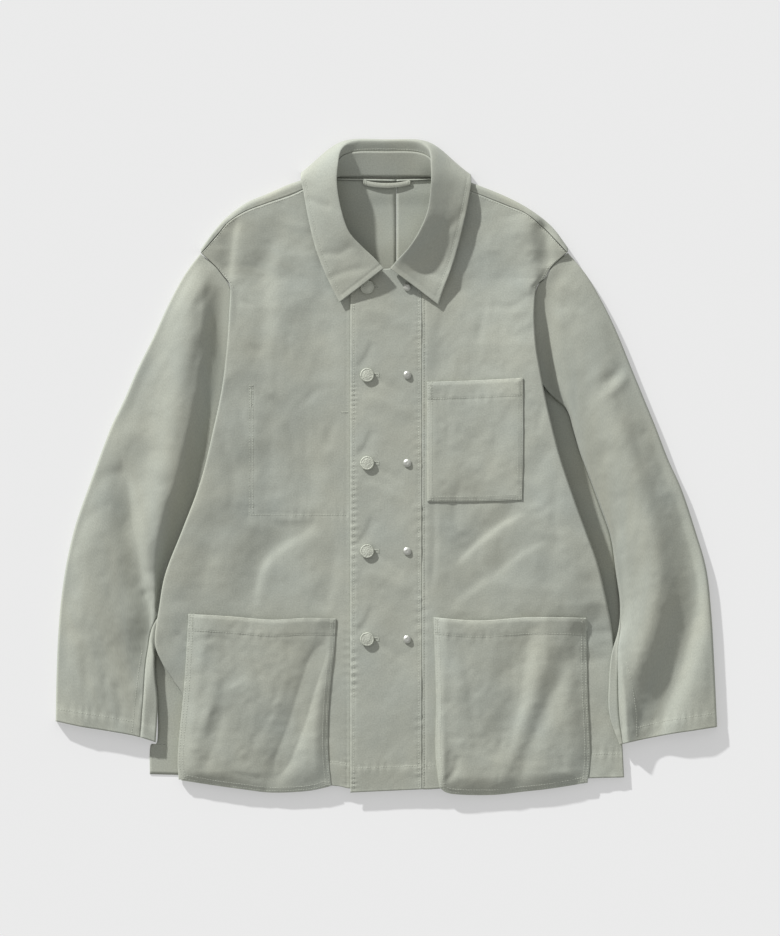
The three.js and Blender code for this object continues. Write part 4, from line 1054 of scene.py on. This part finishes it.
def taut_curve(points, t):
    """A line through points that doesn't swing out where they are close. Points may be whole rows."""
    points = np.asarray(points, float)
    last = len(points) - 1
    low = min(int(t * last), last - 1)
    share = t * last - low
    start, end = points[low], points[low + 1]
    before = points[low - 1] if low > 0 else 2 * start - end
    after = points[low + 2] if low + 2 <= last else 2 * end - start
    gaps = [np.maximum(np.linalg.norm(b - a, axis=-1, keepdims=True) ** 0.5, 1e-4)
            for a, b in ((before, start), (start, end), (end, after))]
    g0, g1, g2 = gaps
    leave = ((start - before) / g0 - (end - before) / (g0 + g1) + (end - start) / g1) * g1
    arrive = ((end - start) / g1 - (after - start) / (g1 + g2) + (after - end) / g2) * g1
    cubic = 2 * start - 2 * end + leave + arrive
    square = -3 * start + 3 * end - 2 * leave - arrive
    return ((cubic * share + square) * share + leave) * share + start


COLLAR_RAILS = []
for place in range(4):
    line = [row[place] for row in COLLAR]
    COLLAR_RAILS.append(np.array([taut_curve(line, t) for t in even(COLLAR_STATIONS)]))
print("collar stations:", COLLAR_STATIONS)

# %% Collar
COLLAR_FOLDS = [
    (-1, 4, 6, [(-36, 398), (-24, 384), (-6, 370)]),
    (-0.8, 6, 4, [(8, 396), (24, 380), (30, 366)]),
    (0.9, 5, 7, [(-60, 372), (-40, 378), (-16, 392)]),
    (-0.9, 5, 5, [(-100, 330), (-80, 322), (-66, 318)]),
    (-0.8, 5, 6, [(98, 318), (84, 300), (70, 292)]),
    (-0.9, 6, 5, [(-80, 262), (-58, 262), (-40, 272)]),
    (-0.8, 5, 5, [(-72, 230), (-48, 240), (-24, 244)]),
    (-0.8, 5, 6, [(72, 232), (52, 240), (30, 248)]),
]
FALL_CELLS = 56
STAND_CELLS = 14
COLLAR_STITCH = 6


def collar_fall_grid():
    neck, fold, middle, edge = COLLAR_RAILS
    seam = mix(neck, fold, STAND_SHARE)
    rows = np.array([taut_curve([seam, fold, middle, edge], u) for u in even(FALL_CELLS)])
    rows[..., 2] = np.maximum(rows[..., 2], 0)
    return rows.transpose(1, 0, 2)


def collar_stand_grid():
    neck, fold = COLLAR_RAILS[:2]
    shares = np.linspace(0, STAND_SHARE - 0.004, STAND_CELLS)
    return np.array([mix(neck, fold, share) for share in shares]).transpose(1, 0, 2)


grid = collar_fall_grid()
left, right, bottom, top = edge_distance(grid)
worn = rubbed(right) + rubbed(bottom) + rubbed(top)
inner_edge = np.minimum(right, np.minimum(bottom, top))
x, y = grid[..., 0], grid[..., 1]
grid[..., 2] += (0.6 * washed(x, y, 121) + folds_at(COLLAR_FOLDS, x, y)) * smoothstep(grid[..., 2], 12, 18)
grid[..., 2] -= 0.35 * np.exp(-(((inner_edge - COLLAR_STITCH) / 1.6) ** 2)) * smoothstep(grid[..., 2], 12, 18)
cloth("collar_turned_over", grid, worn, "collar_fall")
grid = collar_stand_grid()
left, right, bottom, top = edge_distance(grid)
cloth("collar_band", grid, 0.25 * rubbed(right), "collar_stand")

# %% [markdown]
# ## Loop and inner pocket
# The hanger loop is a tape sewn down at both ends, and hangs a little in between. The inner pocket
# is behind the right front. Nothing of it shows but its stitching, yet it is there.

# %% Loop and inner pocket
LOOP = {"left": -28, "right": 30, "y": 348.5, "band": 6, "sag": 4, "arch": 1.2, "base": 5.6}
INNER_POCKET = {
    "top": [(-166, 102), (-110, 101), (-50, 102)], "bottom": [(-166, -57), (-110, -57.5), (-50, -57)],
    "left": [(-166, -57), (-166, 20), (-166, 102)], "right": [(-50, -57), (-50, 20), (-50, 102)],
}
INNER_POCKET_DEPTH = WALL + 2 * LAP


def loop_grid():
    u, v = np.meshgrid(even(48), even(8))
    sag = 4 * u * (1 - u)
    x = mix(LOOP["left"], LOOP["right"], u)
    y = LOOP["y"] - LOOP["sag"] * sag + (v - 0.5) * LOOP["band"]
    z = LOOP["base"] + LOOP["arch"] * sag + 0.25 * np.cos(2 * math.pi * (v - 0.5))
    return np.stack([x, y, z], 2)


def inner_pocket_grid():
    u, v = np.meshgrid(even(30), even(40))
    plan = patch(INNER_POCKET, u, v)
    z = body_height(plan[..., 0], plan[..., 1]) - INNER_POCKET_DEPTH
    return np.dstack([plan, z])


grid = loop_grid()
left, right, bottom, top = edge_distance(grid)
cloth("hanger_tape", grid, 0.8 * rubbed(bottom, 1) + 0.8 * rubbed(top, 1), "hanger_loop", shell=0.9)
grid = inner_pocket_grid()
left, right, bottom, top = edge_distance(grid)
cloth("inner_pocket_patch", grid, rubbed(top), "inner_pocket")

# %% [markdown]
# ## Stitches
# The seams are lockstitched with a thread a little paler than the cloth. Each stitch is a small
# lens that sits in the cloth. A line of them is dropped on a panel from above: a ray finds the
# height and the slope there. A sphere of 20 faces is enough, since thousands of them are used.

# %% Thread
THREAD_COLOUR = (0.5, 0.52, 0.45)
STITCH = {"pitch": 3.2, "length": 2.5, "width": 0.8, "height": 0.5}
DROP_FROM = 80


def thread_material():
    material = bpy.data.materials.new("sewing_thread")
    material.use_nodes = True
    tree = material.node_tree
    surface = tree.nodes["Principled BSDF"]
    surface.inputs["Roughness"].default_value = 0.6
    surface.inputs["Specular IOR Level"].default_value = 0.35
    place = node(tree, "ShaderNodeTexCoord").outputs["Object"]
    shade = stretched(tree, noise(tree, place, 90, 2), 0.85, 1.15)
    tint = node(tree, "ShaderNodeVectorMath", operation="SCALE")
    tint.inputs[0].default_value = THREAD_COLOUR
    link(tree, shade, tint.inputs["Scale"])
    link(tree, tint.outputs["Vector"], surface.inputs["Base Color"])
    bump = node(tree, "ShaderNodeBump", Distance=0.1 * MM, Strength=0.5)
    link(tree, noise(tree, place, 3000, 1), bump.inputs["Height"])
    link(tree, bump.outputs["Normal"], surface.inputs["Normal"])
    return material


THREAD = thread_material()


def lens():
    mesh = bmesh.new()
    bmesh.ops.create_icosphere(mesh, subdivisions=1, radius=0.5)
    mesh.verts.index_update()
    points = np.array([vertex.co[:] for vertex in mesh.verts])
    faces = np.array([[vertex.index for vertex in face.verts] for face in mesh.faces])
    mesh.free()
    return points, faces


LENS_POINTS, LENS_FACES = lens()


def surface_under(piece):
    data = piece.data
    corners = [vertex.co[:] for vertex in data.vertices]
    return BVHTree.FromPolygons(corners, [face.vertices[:] for face in data.polygons])


def spaced(path, pitch):
    """Places along a smooth path with an even pitch, and the direction at each."""
    path = np.asarray(path, float)
    fine = curve(path, even(40 * len(path))) if len(path) > 2 else mix(path[0], path[1], even(60)[:, None])
    walked = np.concatenate([[0], np.cumsum(np.linalg.norm(np.diff(fine, axis=0), axis=1))])
    at = np.arange(pitch / 2, walked[-1], pitch)
    places = np.stack([np.interp(at, walked, fine[:, k]) for k in (0, 1)], 1)
    ahead = np.stack([np.interp(at + 0.5, walked, fine[:, k]) for k in (0, 1)], 1)
    behind = np.stack([np.interp(at - 0.5, walked, fine[:, k]) for k in (0, 1)], 1)
    return places, ahead - behind


def dropped(tree, x, y):
    start = Vector(((x - PLAN_CENTRE[0]) * MM, (y - PLAN_CENTRE[1]) * MM, DROP_FROM * MM))
    place, normal, *_ = tree.ray_cast(start, Vector((0, 0, -1)))
    return place, normal


def placed_lens(place, normal, direction, size):
    up = normal if normal.z > 0 else -normal
    along = Vector((direction[0], direction[1], 0))
    along = (along - along.dot(up) * up).normalized()
    side = up.cross(along)
    axes = np.array([along, side, up]) * (np.array(size) * MM)[:, None]
    return LENS_POINTS @ axes + np.array(place + up * (0.1 * MM))


def stitches(name, carrier, lines, pitch=STITCH["pitch"], across=False):
    """Lines of stitches on one panel. Across turns each stitch square to its line, as on a bar tack."""
    tree = surface_under(cloth_pieces[carrier])
    wobble = np.random.default_rng(len(name))
    points = []
    for path in lines:
        for (x, y), (dx, dy) in zip(*spaced(path, pitch)):
            nudge = wobble.normal(0, 0.12, 2)
            place, normal = dropped(tree, x + nudge[0], y + nudge[1])
            if place is None:
                continue
            direction = (-dy, dx) if across else (dx, dy)
            length = STITCH["length"] * wobble.uniform(0.88, 1.08)
            points.append(placed_lens(place, normal, direction, (length, STITCH["width"], STITCH["height"])))
    count = len(points)
    faces = (LENS_FACES[None] + np.arange(count)[:, None, None] * len(LENS_POINTS)).reshape(-1, 3)
    data = bpy.data.meshes.new(name)
    data.from_pydata(np.concatenate(points).tolist(), [], faces.tolist())
    data.polygons.foreach_set("use_smooth", np.ones(len(data.polygons), bool))
    data.materials.append(THREAD)
    piece = bpy.data.objects.new(name, data)
    SCENE.collection.objects.link(piece)
    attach(piece, "root")
    sewn_on.setdefault(carrier, []).append(piece)
    print(name, "has", count, "stitches")
    return piece


sewn_on = {}
print("faces of a stitch:", len(LENS_FACES))


# %% Lines of stitches
def moved(path, dx=0, dy=0):
    return [(x + dx, y + dy) for x, y in path]


def pocket_sewing(pocket, inset=2.2, second=6.2):
    """Two lines round the sides and the bottom, and one below the hem at the top."""
    lines = []
    for depth in (inset, second):
        left = [(x + depth, y) for x, y in pocket["left"]]
        right = [(x - depth, y) for x, y in pocket["right"]]
        bottom = [(x, y + depth) for x, y in pocket["bottom"]]
        bottom[0] = (bottom[0][0] + depth, bottom[0][1])
        bottom[-1] = (bottom[-1][0] - depth, bottom[-1][1])
        lines += [left, right, bottom]
    lines.append(moved(pocket["top"], dy=-pocket["hem"]))
    return lines


def corner_tacks(pocket):
    hem = pocket["hem"]
    (left, y_left), (right, y_right) = pocket["top"][0], pocket["top"][-1]
    return [[(left + 4.2, y_left - 1.5), (left + 4.2, y_left - hem)],
            [(right - 4.2, y_right - 1.5), (right - 4.2, y_right - hem)]]


for name, pocket in POCKETS.items():
    stitches(f"{name}_stitches", f"{name}_patch", pocket_sewing(pocket))
    stitches(f"{name}_tacks", f"{name}_patch", corner_tacks(pocket), pitch=1.6, across=True)

PLACKET_EDGES = [[line[0] for line in PLACKET_LINES][k] for k in (0, 1)]
stitches("band_stitches", "buttonhole_band", [PLACKET_EDGES[0], PLACKET_EDGES[1], PLACKET_LINES[2][0]])
stitches("front_right_stitches", "front_panel_right", [
    moved(RIGHT_HEM[1:], dy=FRONT_HEM_DEPTH), *INNER_POCKET_LINES,
    moved(SHOULDERS["right"]["seam"], dx=-0.5, dy=-2.4), moved(RIGHT_SLEEVE["head"][1:4], dx=4.6, dy=-1),
])
stitches("front_right_tacks", "front_panel_right", [
    [(-164.5, 101), (-164.5, 74)], [(-55, 68), (-46, 68)],
], pitch=1.5, across=True)
stitches("front_left_stitches", "front_panel_left", [
    moved(LEFT_HEM, dy=FRONT_HEM_DEPTH), [(46.4, 252), (46.4, 0), (46.4, -388)],
    moved(SHOULDERS["left"]["seam"], dx=0.5, dy=-2.4), moved(LEFT_SLEEVE["head"][1:5], dx=-4.6, dy=-1),
])
RIGHT_SEAM = [(-297.5, -222), (-303, -257), (-307.5, -300), (-310, -323)]
LEFT_SEAM = [(293, -236), (300, -262), (305, -298), (306, -326)]
stitches("sleeve_right_stitches", "sleeve_upper_right", [
    RIGHT_SEAM, [(-401, -294), (-371, -299), (-345, -303), (-311, -309)],
])
stitches("sleeve_left_stitches", "sleeve_upper_left", [
    LEFT_SEAM, [(401, -299), (370, -304), (339, -309), (306, -317)],
])

# %% Stitches of the collar
collar_grid = collar_fall_grid()
EDGE_ROW = collar_grid[:, -1]
inward = collar_grid[:, -4] - collar_grid[:, -1]
inward = inward / np.linalg.norm(inward, axis=1, keepdims=True)
edge_line = (EDGE_ROW + COLLAR_STITCH * inward)[:: COLLAR_STATIONS // 60, :2]
right_half = edge_line[edge_line[:, 0] < -50]
left_half = edge_line[edge_line[:, 0] > 50]
BACK_SEAM = [(-46, 385), (-30, 387), (0, 387.4), (28, 386.6), (46, 384)]
stitches("collar_stitches", "collar_turned_over", [
    right_half[2:-8], left_half[8:-2], moved(BACK_SEAM, dy=1.8),
])
stitches("collar_band_stitches", "collar_band", [moved(BACK_SEAM, dy=-3), [(-56, 358), (0, 358.4),
(56, 357.5)]])
LOOP_ENDS = [[(x, LOOP["y"] - 2.6),
(x, LOOP["y"] + 2.6)] for x in (LOOP["left"] + 1.2, LOOP["right"] - 1.2)]
LOOP_ENDS += [moved(line, dx=2.4 if line[0][0] < 0 else -2.4) for line in LOOP_ENDS]
stitches("hanger_tape_stitches", "hanger_tape", LOOP_ENDS, pitch=1.1, across=True)
stitches("back_stitches", "back_panel_right", [[(CENTRE_BACK - 8.6, 250), (CENTRE_BACK - 8.6, 346)]])

# %% Buttonholes
HOLE = {"left": -26, "right": -9.6, "gap": 1.6, "pitch": 0.95}
hole_lines = []
for level in BUTTON_LEVELS:
    for side in (-1, 1):
        hole_lines.append([(HOLE["left"], level + side * HOLE["gap"]),
        (HOLE["right"], level + side * HOLE["gap"])])
stitches("buttonhole_stitches", "buttonhole_band", hole_lines, pitch=HOLE["pitch"], across=True)
ends = [[(HOLE["right"] + 0.6, level - 2.4), (HOLE["right"] + 0.6, level + 2.4)] for level in BUTTON_LEVELS]
stitches("buttonhole_ends", "buttonhole_band", ends, pitch=HOLE["pitch"], across=True)

# %% [markdown]
# ## Buttons and studs
# The buttons are pressed from a grey-green resin, with a smooth rim round a pebbled face. Beside
# each is the small domed cap of a stud. Both are turned profiles, spun round their own axis, and
# each leans with the cloth that it lies on.

# %% Button and stud materials
HORN_COLOUR = (0.5, 0.52, 0.44)
METAL_COLOUR = (0.6, 0.61, 0.56)


def hard_material(name, colour, metallic, roughness, grain, depth):
    material = bpy.data.materials.new(name)
    material.use_nodes = True
    tree = material.node_tree
    surface = tree.nodes["Principled BSDF"]
    surface.inputs["Metallic"].default_value = metallic
    place = node(tree, "ShaderNodeTexCoord").outputs["Object"]
    handled = stretched(tree, noise(tree, place, 220, 3), roughness - 0.1, roughness + 0.12)
    link(tree, handled, surface.inputs["Roughness"])
    shade = stretched(tree, noise(tree, place, 120, 3), 0.86, 1.12)
    tint = node(tree, "ShaderNodeVectorMath", operation="SCALE")
    tint.inputs[0].default_value = colour
    link(tree, shade, tint.inputs["Scale"])
    link(tree, tint.outputs["Vector"], surface.inputs["Base Color"])
    pebbles = node(tree, "ShaderNodeTexVoronoi", Scale=grain)
    link(tree, place, pebbles.inputs["Vector"])
    bump = node(tree, "ShaderNodeBump", Distance=depth, Strength=0.7)
    link(tree, pebbles.outputs["Distance"], bump.inputs["Height"])
    link(tree, bump.outputs["Normal"], surface.inputs["Normal"])
    return material


HORN = hard_material("resin", HORN_COLOUR, 0, 0.42, 620, 0.7 * MM)
METAL = hard_material("metal", METAL_COLOUR, 0.8, 0.46, 500, 0.3 * MM)

# %% Buttons and studs
BUTTON_PROFILE = [
    (0, 3), (2.6, 2.95), (5, 2.8), (6.4, 2.55), (6.9, 2.5), (7.3, 2.85), (7.8, 2.8), (8.3, 2.2), (8.5, 1.4),
    (8.1, 0.5), (7.2, 0.05), (0, 0),
]
STUD_PROFILE = [(0, 2.2), (1.2, 2.45), (2.2, 2.5), (3.2, 2.2), (4, 1.6), (4.4, 1), (4.8, 0.9),
(5, 0.55), (4.9, 0.1), (0, 0)]
TURNS = 40


def turned(name, profile, x, y, material, slot, node_name):
    mesh = bmesh.new()
    points = [mesh.verts.new((r * MM, 0, z * MM)) for r, z in profile]
    for first, second in zip(points, points[1:]):
        mesh.edges.new((first, second))
    bmesh.ops.spin(mesh, geom=mesh.verts[:] + mesh.edges[:], axis=(0, 0, 1), cent=(0, 0, 0), steps=TURNS,
                   angle=2 * math.pi, use_merge=True)
    bmesh.ops.remove_doubles(mesh, verts=mesh.verts[:], dist=0.01 * MM)
    bmesh.ops.recalc_face_normals(mesh, faces=mesh.faces[:])
    low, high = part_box(node_name)
    _, normal = dropped(BAND_TREE, x, y)
    up = (normal if normal.z > 0 else -normal).lerp(Vector((0, 0, 1)), 0.6).normalized()
    lean = Vector((0, 0, 1)).rotation_difference(up).to_matrix().to_4x4()
    lean.translation = ((low[0] + high[0]) / 2, (low[1] + high[1]) / 2, low[2] + 0.2 * MM)
    bmesh.ops.transform(mesh, matrix=lean, verts=mesh.verts[:])
    data = bpy.data.meshes.new(name)
    mesh.to_mesh(data)
    mesh.free()
    data.polygons.foreach_set("use_smooth", np.ones(len(data.polygons), bool))
    data.materials.append(material)
    piece = bpy.data.objects.new(name, data)
    SCENE.collection.objects.link(piece)
    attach(piece, "root")
    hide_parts(node_name)
    return piece


BAND_TREE = surface_under(cloth_pieces["buttonhole_band"])
fastenings = []
for number, level in enumerate(BUTTON_LEVELS, 1):
    button = turned(f"shank_button_{number}", BUTTON_PROFILE, BUTTON["x"], level, HORN, "button",
                    f"button_{number}")
    stud = turned(f"domed_stud_{number}", STUD_PROFILE, STUD["x"], level, METAL, "stud", f"stud_{number}")
    fastenings += [button, stud]
print("buttons and studs:", len(fastenings))

# %% [markdown]
# ## Flat sizes
# Every panel was cut from flat cloth. Here its lengths are measured along its rows and its columns.

for name, (piece, grid) in cloth_grids.items():
    across, along = lengths_along(grid, 1), lengths_along(grid, 0)
